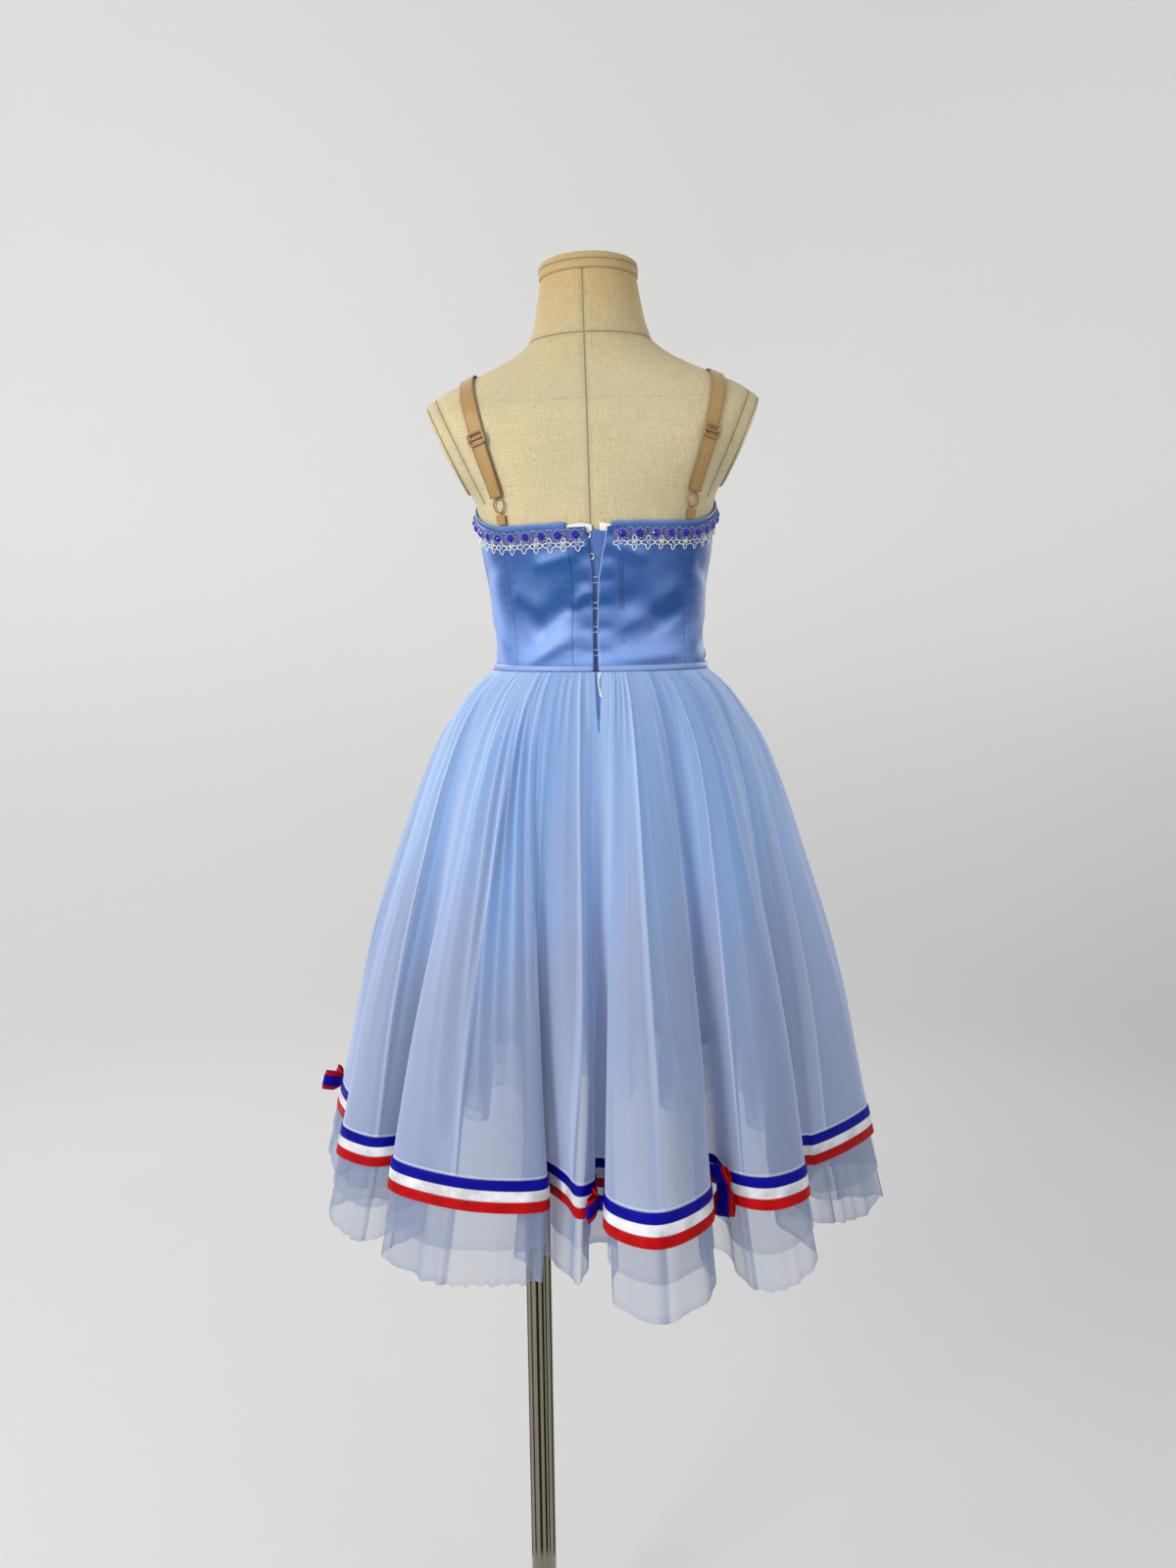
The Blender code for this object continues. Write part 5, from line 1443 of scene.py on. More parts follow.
def hook_pulls(away, heights):
    """Where the hooks pull the edge in, and it stands out between them."""
    total = np.zeros(np.broadcast(away, heights).shape)
    for height in FASTENER_HEIGHTS:
        total -= np.exp(-((heights - height) / 0.0060) ** 2)
    return (total + 0.45) * 0.0010 * np.exp(-((away - 0.005) / 0.0085) ** 2)


def panel_grid(start, end, pitch):
    """Rows of angles and heights over one panel, from its top edge down to the waist."""
    width = (end(0.07) - start(0.07)) * METRES_PER_DEGREE
    columns = max(12, round(width / pitch))
    rows = round(0.150 / (pitch * 1.15))
    degrees, heights = [], []
    for share in np.linspace(0.0, 1.0, rows):
        level = float(bodice_top(90.0)) * (1 - share) + float(level_cut(90.0)) * share
        seam = math.degrees(0.03 * MM / 0.1006)
        turn = np.linspace(start(level) + seam, end(level) - seam, columns)
        degrees.append(turn)
        heights.append(bodice_top(turn) * (1 - share) + level_cut(turn) * share)
    return np.array(degrees), np.array(heights)


def make_panel(name, start, end):
    """One satin panel of the bodice, creased by its wear and pulled at its seams and hooks, with a painted
    sheen in its colour.
    """
    degrees, heights = panel_grid(start, end, 1.8 * MM)
    flat = form_points(degrees, heights)
    across = np.array([lengths_along(row) for row in flat])
    first, last = across, across[:, -1:] - across
    relief = satin_creases(degrees % 360, heights)
    if name == "back_right":
        relief += hook_pulls(first, heights) + edge_puckers(last, heights, 1.0)
    elif name == "placket_left":
        relief += hook_pulls(last, heights) + edge_puckers(first, heights, 2.0, 0.0001)
    else:
        relief += (edge_puckers(first, heights, 0.5)
                   + edge_puckers(last, heights, 2.4, 0.0001 if name == "back_left" else 0.00045))
    behind = 1 - ramp(np.abs(degrees % 360 - 90), 35, 75)
    up = heights - level_cut(degrees)
    tilt = -np.gradient(relief, axis=0) / np.gradient(heights, axis=0)
    relief += (0.0004 + 0.0005 * behind) * np.exp(-((up - 0.012) / 0.0085) ** 2)
    # Painted sheen: a painted highlight band on the left side panel, and a paler colour where the creases
    # tilt up and just above the waist, most at the back.
    band = np.exp(-((degrees % 360 - 17) / 11) ** 2) * (0.75 if name == "side_left" else 0.0)
    shine = 0.10 + (0.30 + 0.30 * behind) * (1 - ramp(up, 0.010, 0.080)) + 1.7 * tilt + band
    shine = np.clip(shine, 0.0, 1.0)
    lift = bodice_clearance(degrees) + BODICE_CLOTH - 0.1 * MM
    piece = add_cloth(f"satin_{name}", in_room(form_points(degrees, heights, lift + relief)),
                      satin("body"), thickness=0.9 * MM, shine=shine)
    settle(piece, "blue_satin", name)


def make_underlap():
    """The flap that fills the opening behind the two back edges, with its facing's seam."""
    rows, columns = 66, 24
    degrees, heights = [], []
    for share in np.linspace(0.0, 1.0, rows):
        level = (BODICE_TOP_BACK - UNDERLAP_TOP_GAP) * (1 - share)
        turn = np.linspace(float(back_degrees(UNDERLAP_LEFT_X, level)),
                           float(back_degrees(UNDERLAP_RIGHT_X, level)), columns)
        degrees.append(turn)
        heights.append((bodice_top(turn) - UNDERLAP_TOP_GAP) * (1 - share) + level_cut(turn) * share)
    degrees, heights = np.array(degrees), np.array(heights)
    relief = edge_puckers(np.abs(heights - 0.1155), degrees * METRES_PER_DEGREE, 0.0) * 0.8
    relief += 0.00030 * np.sin(heights * 130 + degrees * 0.25)
    lift = FORM_CLEARANCE + CLOTH - 0.35 * MM
    # The underlap's colour takes an even share of painted sheen.
    piece = add_cloth("satin_underlap", in_room(form_points(degrees, heights, lift + relief)),
                      satin("body"), thickness=0.55 * MM, shine=np.full(degrees.shape, 0.3))
    settle(piece, "blue_satin", "underlap")


def round_the_bodice(first_x, last_x, height, pitch):
    """Angles right round the bodice, from the right of the opening to its left."""
    first = float(back_degrees(first_x, height))
    last = 360 + float(back_degrees(last_x, height))
    return np.linspace(first, last, round((last - first) * METRES_PER_DEGREE / pitch))


def make_top_band():
    """The lining's rolled top edge, which stands just above the panels."""
    degrees = round_the_bodice(BAND_RIGHT_X, BAND_LEFT_X, BODICE_TOP_BACK, 2.4 * MM)
    drops = np.array([2.2, 1.2, 0.4, 0.0, 0.0, 0.4, 1.0, 1.8, 2.8, 3.6, 5.5, 9.0, 14.0, 19.5]) * MM
    outs = np.array([-0.3, -0.55, -0.3, 0.25, 0.8, 1.25, 1.5, 1.45, 1.1, 0.55, 0.2, 0.1, 0.1, 0.1]) * MM
    heights = bodice_top(degrees)[None, :] + BAND_ABOVE - drops[:, None]
    wave = 0.00022 * wandering(degrees / 360.0, 71, 40)[None, :]
    heights = heights + wave * (drops[:, None] < 0.006)
    lift = FORM_CLEARANCE + CLOTH - 0.15 * MM + outs[:, None]
    grid = form_points(np.tile(degrees, (len(drops), 1)), heights, lift)
    # The band's colour takes an even share of painted sheen.
    piece = add_cloth("rolled_top_band", in_room(grid), satin("body"), thickness=0.5 * MM,
                      shine=np.full(grid.shape[:2], 0.45))
    settle(piece, "blue_satin", "top_band")


def make_top_tapes():
    """The white cotton tape's two ends, which stand above the back opening."""
    ends = (("left", BAND_LEFT_X - 0.6 * MM, 5.0 * MM, 0.0), ("right", -2.0 * MM,
                                                            BAND_RIGHT_X + 0.6 * MM, 1.0))
    for word, left_x, right_x, turned_over in ends:
        share = np.linspace(0.0, 1.0, 26)
        x = left_x * (1 - share) + right_x * share
        arch = np.sin(math.pi * (0.12 + 0.80 * share)) if not turned_over else 1.0 - 0.9 * share**2
        rows = []
        for down in np.linspace(0.0, 1.0, 9):
            rise = TAPE_ABOVE * (0.45 + 0.55 * arch)
            height = BODICE_TOP_BACK + rise - down * (rise + 4.2 * MM)
            degrees = back_degrees(x, np.full_like(x, BODICE_TOP_BACK))
            lift = (FORM_CLEARANCE + 0.75 * MM + 0.5 * MM * np.sin(math.pi * down)
                    + 0.8 * MM * turned_over * share**2)
            rows.append(form_points(degrees, height, lift))
        grid = np.array(rows)
        piece = add_cloth(f"cotton_tape_{word}", in_room(grid), cotton_tape(), thickness=0.6 * MM)
        settle(piece, "cotton", f"tape_{word}")


def make_waist_tape():
    """The white tape's loose end, which hangs out under the piping at the back opening."""
    low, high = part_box("tape_waist")
    share = np.linspace(0.0, 1.0, 22)
    middle_x = (low.x + high.x) / 2 + 0.0012 * np.sin(share * 4.0)
    twist = 0.9 * np.sin(share * 3.4) + 0.35
    half = 1.9 * MM * (1.0 - 0.25 * share)
    out = np.interp(share, (0, 1), (low.y + 1.3 * MM, high.y + 0.6 * MM))
    out = out + 0.4 * MM * np.sin(share * 7)
    rows = []
    for side in np.linspace(-1.0, 1.0, 7):
        rows.append(spots_at(middle_x + half * side * np.cos(twist),
                             out + half * 0.55 * side * np.sin(twist),
                             high.z + (low.z - high.z) * share))
    grid = np.array(rows)
    piece = add_cloth("cotton_tape_waist", grid, cotton_tape(), thickness=0.6 * MM)
    settle(piece, "cotton", "tape_waist")


def make_piping():
    """The rolled satin piping round the bodice's lower edge, open at the back."""
    first, last = edge_degrees(-1, 0.0), 360 + edge_degrees(1, 0.0)
    degrees = np.linspace(first, last, 340)
    lift = bodice_clearance(degrees) + BODICE_CLOTH + 1.7 * MM
    path = in_room(form_points(degrees, level_cut(degrees) + 2.3 * MM, lift))
    along = lengths_along(path)
    ends = ramp(along, -0.0004, 0.0022) * (1 - ramp(along, along[-1] - 0.0022, along[-1] + 0.0004))
    points, faces = tube(path, 3.0 * MM * (0.35 + 0.65 * ends), sides=14, flat=0.62)
    rings = points.reshape(len(path), 14, 3)
    angle = full_turn(14)
    twist = np.sin(2 * math.pi * along[:, None] / 0.0105 + angle[None, :]
                   + 2 * wandering(along / along[-1], 73, 18)[:, None])
    middle = rings.mean(axis=1, keepdims=True)
    rings = middle + (rings - middle) * (1 + 0.045 * twist)[..., None]
    # The paler edge satin paints the piping's highlight.
    piece = joined("waist_cord", [(rings.reshape(-1, 3), faces)], satin("edge"))
    put_flat_places(piece.data, rings.reshape(-1, 3))
    settle(piece, "blue_satin", "waist_piping")


# ---- Trims that lie on the bodice ----

def trim_line(drop):
    """A line round the bodice at a drop below its top edge: angles and lengths along it."""
    degrees = round_the_bodice(BRAID_RIGHT_X, BRAID_LEFT_X, BODICE_TOP_BACK, 1.0 * MM)
    heights = bodice_top(degrees) - drop
    return degrees, lengths_along(form_points(degrees, heights, bodice_clearance(degrees)))


def on_trim(line, drop, spots):
    """Places in the room of (along, up, out) spots given from a line on the bodice."""
    degrees, lengths = line
    turn = np.interp(spots[..., 0], lengths, degrees)
    lift = bodice_clearance(turn) + BODICE_CLOTH + spots[..., 2]
    return in_room(form_points(turn, bodice_top(turn) - drop + spots[..., 1], lift))


def cord_parts(line, drop, outlines, radius, sides, closed=True):
    """Tubes that follow outlines of (along, up, out) spots on the bodice."""
    return [tube(on_trim(line, drop, outline), radius, sides, closed) for outline in outlines]


def petal(centre, turn, length, width, out, steps=12):
    """One looped petal of the lace, from its flower's middle."""
    angle = full_turn(steps)
    reach = length * (0.5 - 0.5 * np.cos(angle))
    side = width / 2 * np.sin(angle) * (0.45 + 0.55 * reach / length)
    return spots_at(centre[0] + reach * math.cos(turn) - side * math.sin(turn),
                    centre[1] + reach * math.sin(turn) + side * math.cos(turn), out)


def make_lace():
    """The lavender lace band: its net ground, flowers of looped cord and scalloped edges."""
    drop = BRAID_TOP_GAP + LACE_HEIGHT / 2
    line = trim_line(drop)
    total = line[1][-1]
    pitch = sizes().lace_pitch
    count = int(total / pitch)
    starts = (np.arange(count) + 0.5) * total / count
    draw = np.random.default_rng(5)
    along = np.linspace(0.0, total, round(total / 0.0013))
    scallop = 0.0007 * np.cos(2 * math.pi * along / (total / count)) ** 2
    rows = []
    for share in np.linspace(1.0, -1.0, 7):
        up = share * (LACE_HEIGHT / 2 - 0.0012 + scallop)
        out = 0.00075 + 0.00012 * np.sin(along * 900 + share * 3)
        rows.append(on_trim(line, drop, spots_at(along, up, out)))
    ground = add_cloth("lace_ground", np.array(rows), lace_net())
    settle(ground, "lace", "braid_lace")

    petals, arches = [], []
    for start in starts:
        tilt = draw.uniform(-0.2, 0.2)
        for number in range(9):
            turn = tilt + 2 * math.pi * number / 9
            reach = 0.0064 if abs(math.sin(turn)) < 0.75 else 0.0057
            reach *= draw.uniform(0.88, 1.08)
            petals.append(petal((start, draw.uniform(-3e-4, 3e-4)), turn, reach, 0.0031,
                                0.00125 + 0.0003 * (number % 2)))
        for side in (-1, 1):
            between = start + total / count / 2
            arch = np.linspace(0.0, math.pi, 9)
            up = (LACE_HEIGHT / 2 - 0.0022) * side + 0.0017 * side * np.sin(arch)
            arches.append(spots_at(between + 0.0026 * np.cos(arch) * side, up, 0.0013))
    parts = cord_parts(line, drop, petals, 0.27 * MM, 4)
    parts += cord_parts(line, drop, arches, 0.33 * MM, 5, False)
    settle(joined("lace_flowers", parts, cord_yarn("lace")), "lace")
    make_stones("lace_stones", line, drop, [(start, 0.0003) for start in starts], "blue",
                sizes().stone_width / 2)


def make_stones(name, line, drop, spots, word, radius):
    """Faceted stones on the bodice, in one mesh."""
    parts, hues = [], []
    draw = np.random.default_rng(len(spots))
    angle = full_turn(10)
    # share of the radius, height out of the cloth, turn
    tiers = ((0.92, 0.0012, 0.0), (1.0, 0.0019, 0.0), (0.78, 0.0019 + radius * 0.35, 0.31),
             (0.45, 0.0019 + radius * 0.55, 0.0))
    for along, up in spots:
        rows = [spots_at(along + radius * share * np.cos(angle + turn),
                         up + radius * share * np.sin(angle + turn), out) for share, out, turn in tiers]
        parts.append((on_trim(line, drop, np.concatenate(rows)), closed_faces(4, 10)))
        hues.append(draw.uniform(0.0, 1.0, 40))
    piece = joined(name, parts, cut_stone(word), crease_angle=8)
    put_field(piece.data, "facet", np.concatenate(hues))
    return settle(piece, "lace")


def make_edging():
    """The white edging under the lace: a chain of four-lobed loops, with small bright stones."""
    drop = BRAID_TOP_GAP + LACE_HEIGHT + 1.4 * MM
    line = trim_line(drop)
    total = line[1][-1]
    count = int(total / sizes().edging_pitch)
    pitch = total / count
    draw = np.random.default_rng(6)
    angle, ring = full_turn(44), full_turn(14)
    outlines, small, spots = [], [], []
    for number in range(count):
        start = (number + 0.5) * pitch
        lobes = 0.74 + 0.26 * np.cos(4 * angle)
        wide = pitch * 0.50 * draw.uniform(0.94, 1.04)
        tall = 0.0064 * draw.uniform(0.92, 1.06)
        lean = draw.uniform(-0.10, 0.10)
        x, y = lobes * np.cos(angle) * wide, lobes * np.sin(angle) * tall
        outlines.append(spots_at(start + x + y * lean, y - 0.0004, 0.0009 + 0.0003 * np.sin(2 * angle)))
        if number % 2:
            spots.append((start, 0.0002))
        reach = 0.0023 if number % 2 else 0.0014
        small.append(spots_at(start + reach * np.cos(ring), reach * np.sin(ring), 0.0013))
    parts = cord_parts(line, drop, outlines, 0.42 * MM, 6)
    parts += cord_parts(line, drop, small, 0.30 * MM, 5)
    settle(joined("edging_loops", parts, cord_yarn("edging")), "cotton", "braid_picot")
    make_stones("edging_stones", line, drop, spots, "gold", 1.55 * MM)


def bar(start, end, radius, sides=5):
    """A short stitch with rounded ends between two places."""
    share = np.array([0.0, 0.12, 0.5, 0.88, 1.0])
    path = np.asarray(start) * (1 - share)[:, None] + np.asarray(end) * share[:, None]
    return tube(path, radius * np.array([0.35, 0.9, 1.0, 0.9, 0.35]), sides)


def on_back(x, heights, out):
    """Places in the room on the back of the bodice, at an x and a height."""
    degrees = back_degrees(np.asarray(x, dtype=float), np.asarray(heights, dtype=float))
    return in_room(form_points(degrees, heights, bodice_clearance(degrees) + BODICE_CLOTH + out))


def make_stitches():
    """The sewing that shows: the edge stitches, the zigzags by the hooks, the waist's stitch line."""
    pale, dark = [], []
    for height in np.arange(0.006, 0.108, 0.0026):
        left, right = rows_at(BACK_EDGES, height)
        pale.append(bar(*on_back([left + 0.0002, left + 0.0019], np.array([height, height + 5e-4]),
                                 0.12 * MM), 0.16 * MM))
        pale.append(bar(*on_back([left + 0.0019, left + 0.0021], np.array([height, height + 2e-3]),
                                 0.10 * MM), 0.13 * MM))
    for number, height in enumerate(np.arange(0.004, 0.104, 0.0021)):
        for column in (0.0, 0.0028):
            x = ZIGZAG_X - column
            lean = 0.0010 if number % 2 else -0.0010
            dark.append(bar(*on_back([x - lean, x + lean], np.array([height, height + 0.0019]),
                                     0.10 * MM), 0.22 * MM))
    turn = round_the_bodice(-0.004, 0.009, 0.0, 3.1 * MM)
    for degrees in turn:
        angles = np.array([degrees, degrees + 1.1])
        heights = level_cut(angles) + 6.6 * MM
        lift = bodice_clearance(angles) + BODICE_CLOTH + 0.02 * MM
        dark.append(bar(*in_room(form_points(angles, heights, lift)), 0.24 * MM))
    settle(joined("edge_stitches", pale, satin("edge")), "blue_satin")
    settle(joined("seam_stitches", dark, satin("thread")), "blue_satin")
    height = np.linspace(0.001, BODICE_TOP_BACK - 0.001, 70)
    right = rows_at(BACK_EDGES, height)[:, 1]
    points, faces = tube(on_back(right - 0.0002, height, -0.25 * MM), 0.62 * MM, 8)
    # The paler edge satin paints the rolled edge's highlight.
    settle(joined("rolled_edge_right", [(points, faces)], satin("edge")), "blue_satin")


# ---- Hooks, eyes and straps ----

def wire_outline(start_x, end_x, height, half_height, steps=5):
    """A rounded wire loop across the opening, as (x, height) spots."""
    spots = []
    radius = half_height * 0.8
    corners = ((end_x + radius, 1, 180, 90), (start_x - radius, 1, 90, 0),
               (start_x - radius, -1, 0, -90), (end_x + radius, -1, -90, -180))
    for x, side, start, end in corners:
        for turn in np.radians(np.linspace(start, end, steps)):
            spots.append((x + radius * math.cos(turn),
                          height + side * (half_height - radius) + radius * math.sin(turn)))
    return np.array(spots)


def make_fasteners():
    """Six wire eyes and six wire hooks down the back opening; the lower four are fastened."""
    wire = 0.4 * MM
    for number, height in enumerate(FASTENER_HEIGHTS, start=1):
        left, right = rows_at(BACK_EDGES, height)
        eye_end, hook_start = left - EYE_SHOWS, right
        if number <= FASTENED:
            eye_end = right - FASTENED_OVERLAP
            hook_start = eye_end - 2 * wire - GAP
        for word, start_x, end_x, half in (("eye", left + 4.0 * MM, eye_end, 2.6 * MM),
                                           ("hook", hook_start, hook_start - 8.0 * MM, 1.6 * MM)):
            spots = wire_outline(start_x, end_x, height, half)
            degrees = back_degrees(spots[:, 0], spots[:, 1])
            lift = FORM_CLEARANCE + CLOTH + 1.5 * GAP + wire
            arch = 1.4 * MM * np.exp(-((spots[:, 0] - (left + right) / 2) / 0.0035) ** 2)
            path = in_room(form_points(degrees, spots[:, 1], lift + arch))
            points, faces = tube(path, wire * 1.2, 8, closed=True)
            piece = joined(f"wire_{word}_{number}", [(points, faces)], bright_metal("steel"))
            settle(piece, "steel", f"{word}_{number}")


class FormFinder:
    """Finds the finished torso's surface from outside it, in the form's own upright frame."""

    def __init__(self):
        mesh = bpy.data.objects["form_cover"].data
        points = points_of(mesh)
        lean, fall = math.cos(FORM_TILT), math.sin(FORM_TILT)
        x, z = points[:, 0] - FORM_OFFSET_X, points[:, 2] - WAIST_HEIGHT
        points = spots_at(lean * x - fall * z, points[:, 1], fall * x + lean * z)
        self.tree = BVHTree.FromPolygons(points.tolist(), [tuple(p.vertices) for p in mesh.polygons])

    def cast(self, start, towards):
        place, normal, _, _ = self.tree.ray_cast(Vector(start), Vector(towards))
        return np.array(place), np.array(normal)

    def over_shoulder(self, side, turn):
        """The surface and its normal under a strap's middle, at a turn over the shoulder."""
        x = side * float(rows_at(STRAP_ROUTE, turn)[0])
        angle = math.radians(turn)
        out = np.array((0.0, math.cos(angle), math.sin(angle)))
        return self.cast(np.array((x, 0.0, STRAP_CENTRE_HEIGHT)) + out * 0.4, -out)

    def turn_length(self, side, turn):
        here, there = (self.over_shoulder(side, turn + by)[0] for by in (-1, 1))
        return float(np.linalg.norm(there - here)) / 2

    def edge_turn(self, side, start, end, gap):
        """The turn between start and end at which a strap's middle comes down to the top band."""
        for _ in range(20):
            middle = (start + end) / 2
            point, _ = self.over_shoulder(side, middle)
            degrees = math.copysign(float(back_degrees(point[0], point[2])), point[1])
            if point[2] > float(bodice_top(degrees)) + BAND_ABOVE + gap:
                start = middle
            else:
                end = middle
        return start


def strap_grid(finder, side, start, end, width, steps, out):
    """Rows of points across a strap that lies on the form, at a distance out from it."""
    turns = np.linspace(start, end, steps)
    found = [finder.over_shoulder(side, turn) for turn in turns]
    places = np.array([place for place, _ in found])
    normals = np.array([normal for _, normal in found])
    for _ in range(max(3, steps // 8)):
        normals[1:-1] = unit((normals[:-2] + normals[1:-1] * 2 + normals[2:]) / 4)
    across = unit(np.cross(np.gradient(places, axis=0), normals))
    shares = np.array([-0.5, -0.47, -0.42, -0.36, -0.2, 0.0, 0.2, 0.36, 0.42, 0.47, 0.5])
    swell = np.array([0.55, 0.9, 1.0, 0.7, 0.8, 0.85, 0.8, 0.7, 1.0, 0.9, 0.55]) - 1.0
    rows = []
    for number, (place, normal, side_way) in enumerate(zip(places, normals, across)):
        hits = [finder.cast(place + side_way * share * width + normal * 0.03, -normal)[0]
                for share in (-0.5, -0.25, 0.0, 0.25, 0.5)]
        flat = np.stack([np.interp(shares, (-0.5, -0.25, 0.0, 0.25, 0.5), [hit[k] for hit in hits])
                         for k in range(3)], axis=1)
        wave = 0.00012 * math.sin(number * 1.7)
        rows.append(flat + normal * (out + swell * 0.0005 + wave)[:, None])
    grid = np.array(rows)
    for _ in range(3):
        grid[1:-1] = (grid[:-2] + 2 * grid[1:-1] + grid[2:]) / 4
    return grid, shares


def make_strap(name, node_name, finder, side, start, end, width, steps, out):
    """One length of elastic on the form."""
    grid, shares = strap_grid(finder, side, start, end, width, steps, out + 0.8 * MM)
    edge = np.tile(0.5 - np.abs(shares), (steps, 1))
    piece = add_cloth(name, in_room(grid), elastic(), across=shares * width, thickness=0.7 * MM,
                      offset=-side, edge=edge)
    settle(piece, "strap", node_name)


def flat_wire(name, node_name, finder, side, turn, out, outline, radius, bars=()):
    """A closed ring of coated wire that lies on a strap. outline gives (across, along) spots."""
    place, normal = finder.over_shoulder(side, turn)
    along = finder.over_shoulder(side, turn + 2)[0] - place
    along = unit(along - normal * float(along @ normal))
    across = np.cross(along, normal)
    parts = []
    for spots, closed in [(np.array(outline), True), *[(np.array(b), False) for b in bars]]:
        path = place + spots[:, :1] * across + spots[:, 1:] * along + normal * (out + radius)
        parts.append(tube(in_room(path), radius, 10, closed))
    settle(joined(name, parts, coated_wire()), "coated_wire", node_name)


def make_straps():
    """Two shoulder straps, each with its slider, its ring and the short tab that holds the ring."""
    finder = FormFinder()
    ring_radius, wire, strap_out = 6.5 * MM, 0.8 * MM, 1.8 * MM
    loop_out = strap_out + CLOTH + 2 * GAP
    slider_out = loop_out + CLOTH + GAP
    turns = np.linspace(0, 2 * math.pi, 32, endpoint=False)
    circle = np.stack((ring_radius * np.cos(turns), ring_radius * np.sin(turns)), axis=1)
    box = np.stack((8.0 * MM * signed_power(np.cos(turns), 0.35),
                    5.5 * MM * signed_power(np.sin(turns), 0.35)), axis=1)
    middle_bar = [(share * 8.0 * MM, 0.0) for share in (-1.0, -0.5, 0.0, 0.5, 1.0)]
    width = sizes().strap_width
    for side, word in ((1, "left"), (-1, "right")):
        reach = (ring_radius + wire + 3 * GAP) / finder.turn_length(side, RING_TURN)
        start = RING_TURN + reach
        front = finder.edge_turn(side, 150.0, 198.0, 3.6 * MM)
        foot = finder.edge_turn(side, RING_TURN - reach, -60.0, 1.4 * MM)
        make_strap(f"elastic_{word}", f"strap_{word}", finder, side, start, front, width, 90,
                   strap_out)
        make_strap(f"elastic_loop_{word}", f"strap_loop_{word}", finder, side, start, SLIDER_TURN,
                   width, 26, loop_out)
        make_strap(f"elastic_tab_{word}", f"strap_tab_{word}", finder, side, foot,
                   RING_TURN - reach, 11.0 * MM, 14, strap_out)
        flat_wire(f"coated_ring_{word}", f"ring_{word}", finder, side, RING_TURN, strap_out,
                  circle, wire)
        flat_wire(f"coated_slider_{word}", f"slider_{word}", finder, side, SLIDER_TURN, slider_out,
                  box, 1.1 * MM, (middle_bar,))


# ---- The bows ----

def hem_seat(curve, marks, mark):
    """Where a bow sits on the hem's ribbons: its middle, then the ways along, up and out."""
    place = float(np.interp(mark, np.arange(len(marks)), marks))
    places = (place + np.array([-8.0, 0.0, 8.0])) % len(curve)
    rows = []
    for drop in (BOW_DROP - 0.01, BOW_DROP + 0.01):
        plan, _ = skirt_level(curve, places, drop)
        rows.append(np.column_stack([plan + (FORM_OFFSET_X, 0.0), np.full(3, WAIST_HEIGHT - drop)]))
    along = unit(rows[0][2] - rows[0][0] + rows[1][2] - rows[1][0])
    out = unit(np.cross(along, rows[0][1] - rows[1][1]))
    return (rows[0][1] + rows[1][1]) / 2 + out * 1.6 * MM, along, np.cross(out, along), out


def swung(first, second, angle):
    """Two square ways turned by an angle in their own plane, from the first to the second."""
    turn = math.radians(angle)
    return (first * math.cos(turn) + second * math.sin(turn),
            second * math.cos(turn) - first * math.sin(turn))


def bow_seat(seat, roll, swing):
    """A bow's seat, swung about its upright and then rolled in its own plane."""
    middle, along, up, out = seat
    out, along = swung(out, along, swing)
    up, along = swung(up, along, roll)
    return middle, along, up, out


def bow_loop(seat, side, length, plump, grow, width, droop, lean):
    """One loop of a bow as a grid: round from the knot, out, and back to it."""
    middle, along, up, out = seat
    root = middle + out * (plump + BOW_LIFT)
    length = length + grow
    along, out = swung(along, out, side * lean)
    turn = np.linspace(0.0, 2 * math.pi, 30)
    reach = length * (0.5 - 0.5 * np.cos(turn)) ** 0.85
    belly = np.sin(turn) * (plump * (0.25 + 0.75 * reach / length) + grow)
    grid = []
    for share in np.linspace(-1.0, 1.0, 9):
        spread = width / 2 * share * (0.60 + 0.40 * ramp(reach / length, 0.0, 0.4))
        flare = 0.0004 * np.sin(turn * 2 + share) * (reach / length)
        grid.append(root + along * (side * reach)[:, None] + out * (belly + flare)[:, None]
                    + up * (spread - droop * (reach / length) ** 2 * length)[:, None])
    return np.array(grid)


def bow_part(grid, steps):
    """One part of a bow: its points, its faces and each point's distance from the ribbon's edge."""
    share = np.linspace(0.0, 1.0, steps)
    edge = np.repeat(0.5 - np.abs(share - 0.5), grid.shape[1])
    return grid.reshape(-1, 3), grid_faces(*grid.shape[:2], False).tolist(), edge


def bow_knot(seat, plump):
    """The turn of ribbon round a bow's middle, as a grid."""
    middle, along, up, out = seat
    turn = np.linspace(0.0, 2 * math.pi, 25)
    rows = [middle + along * (0.0034 * signed_power(np.cos(turn), 0.6))[:, None]
            + up * (0.0052 * share + 0.0004 * np.sin(turn * 3))[:, None]
            + out * (plump + 0.0005 + (plump + 0.0012) * signed_power(np.sin(turn), 0.6))[:, None]
            for share in np.linspace(-1.0, 1.0, 7)]
    return np.array(rows)


def make_bows():
    """Five small bows on the hem: red loops, a narrower blue ribbon round them, and a knot."""
    curve, marks = hem_curve()
    for name, mark, half, plump, droop, lean, roll, swing in BOWS:
        seat = bow_seat(hem_seat(curve, marks, mark), roll, swing)
        for word, width, grow in BOW_RIBBONS:
            parts = [bow_part(bow_loop(seat, side, half, plump, grow, width, droop, lean), 9)
                     for side in (1, -1)]
            if word == "blue":
                parts.append(bow_part(bow_knot(seat, plump), 7))
            piece = joined(f"bow_{name}_{word}_loops", [part[:2] for part in parts], ribbon_satin(word))
            put_field(piece.data, "edge", np.concatenate([edge for _, _, edge in parts]))
            points = np.concatenate([points for points, _, _ in parts])
            put_flat_places(piece.data, np.stack((points @ seat[1], points @ seat[2]), axis=1), 0, 1)
            thicken(piece, 0.35 * MM, 0.0)
            settle(piece, f"ribbon_{word}", f"bow_{name}_{word}")


# ---- The studio ----

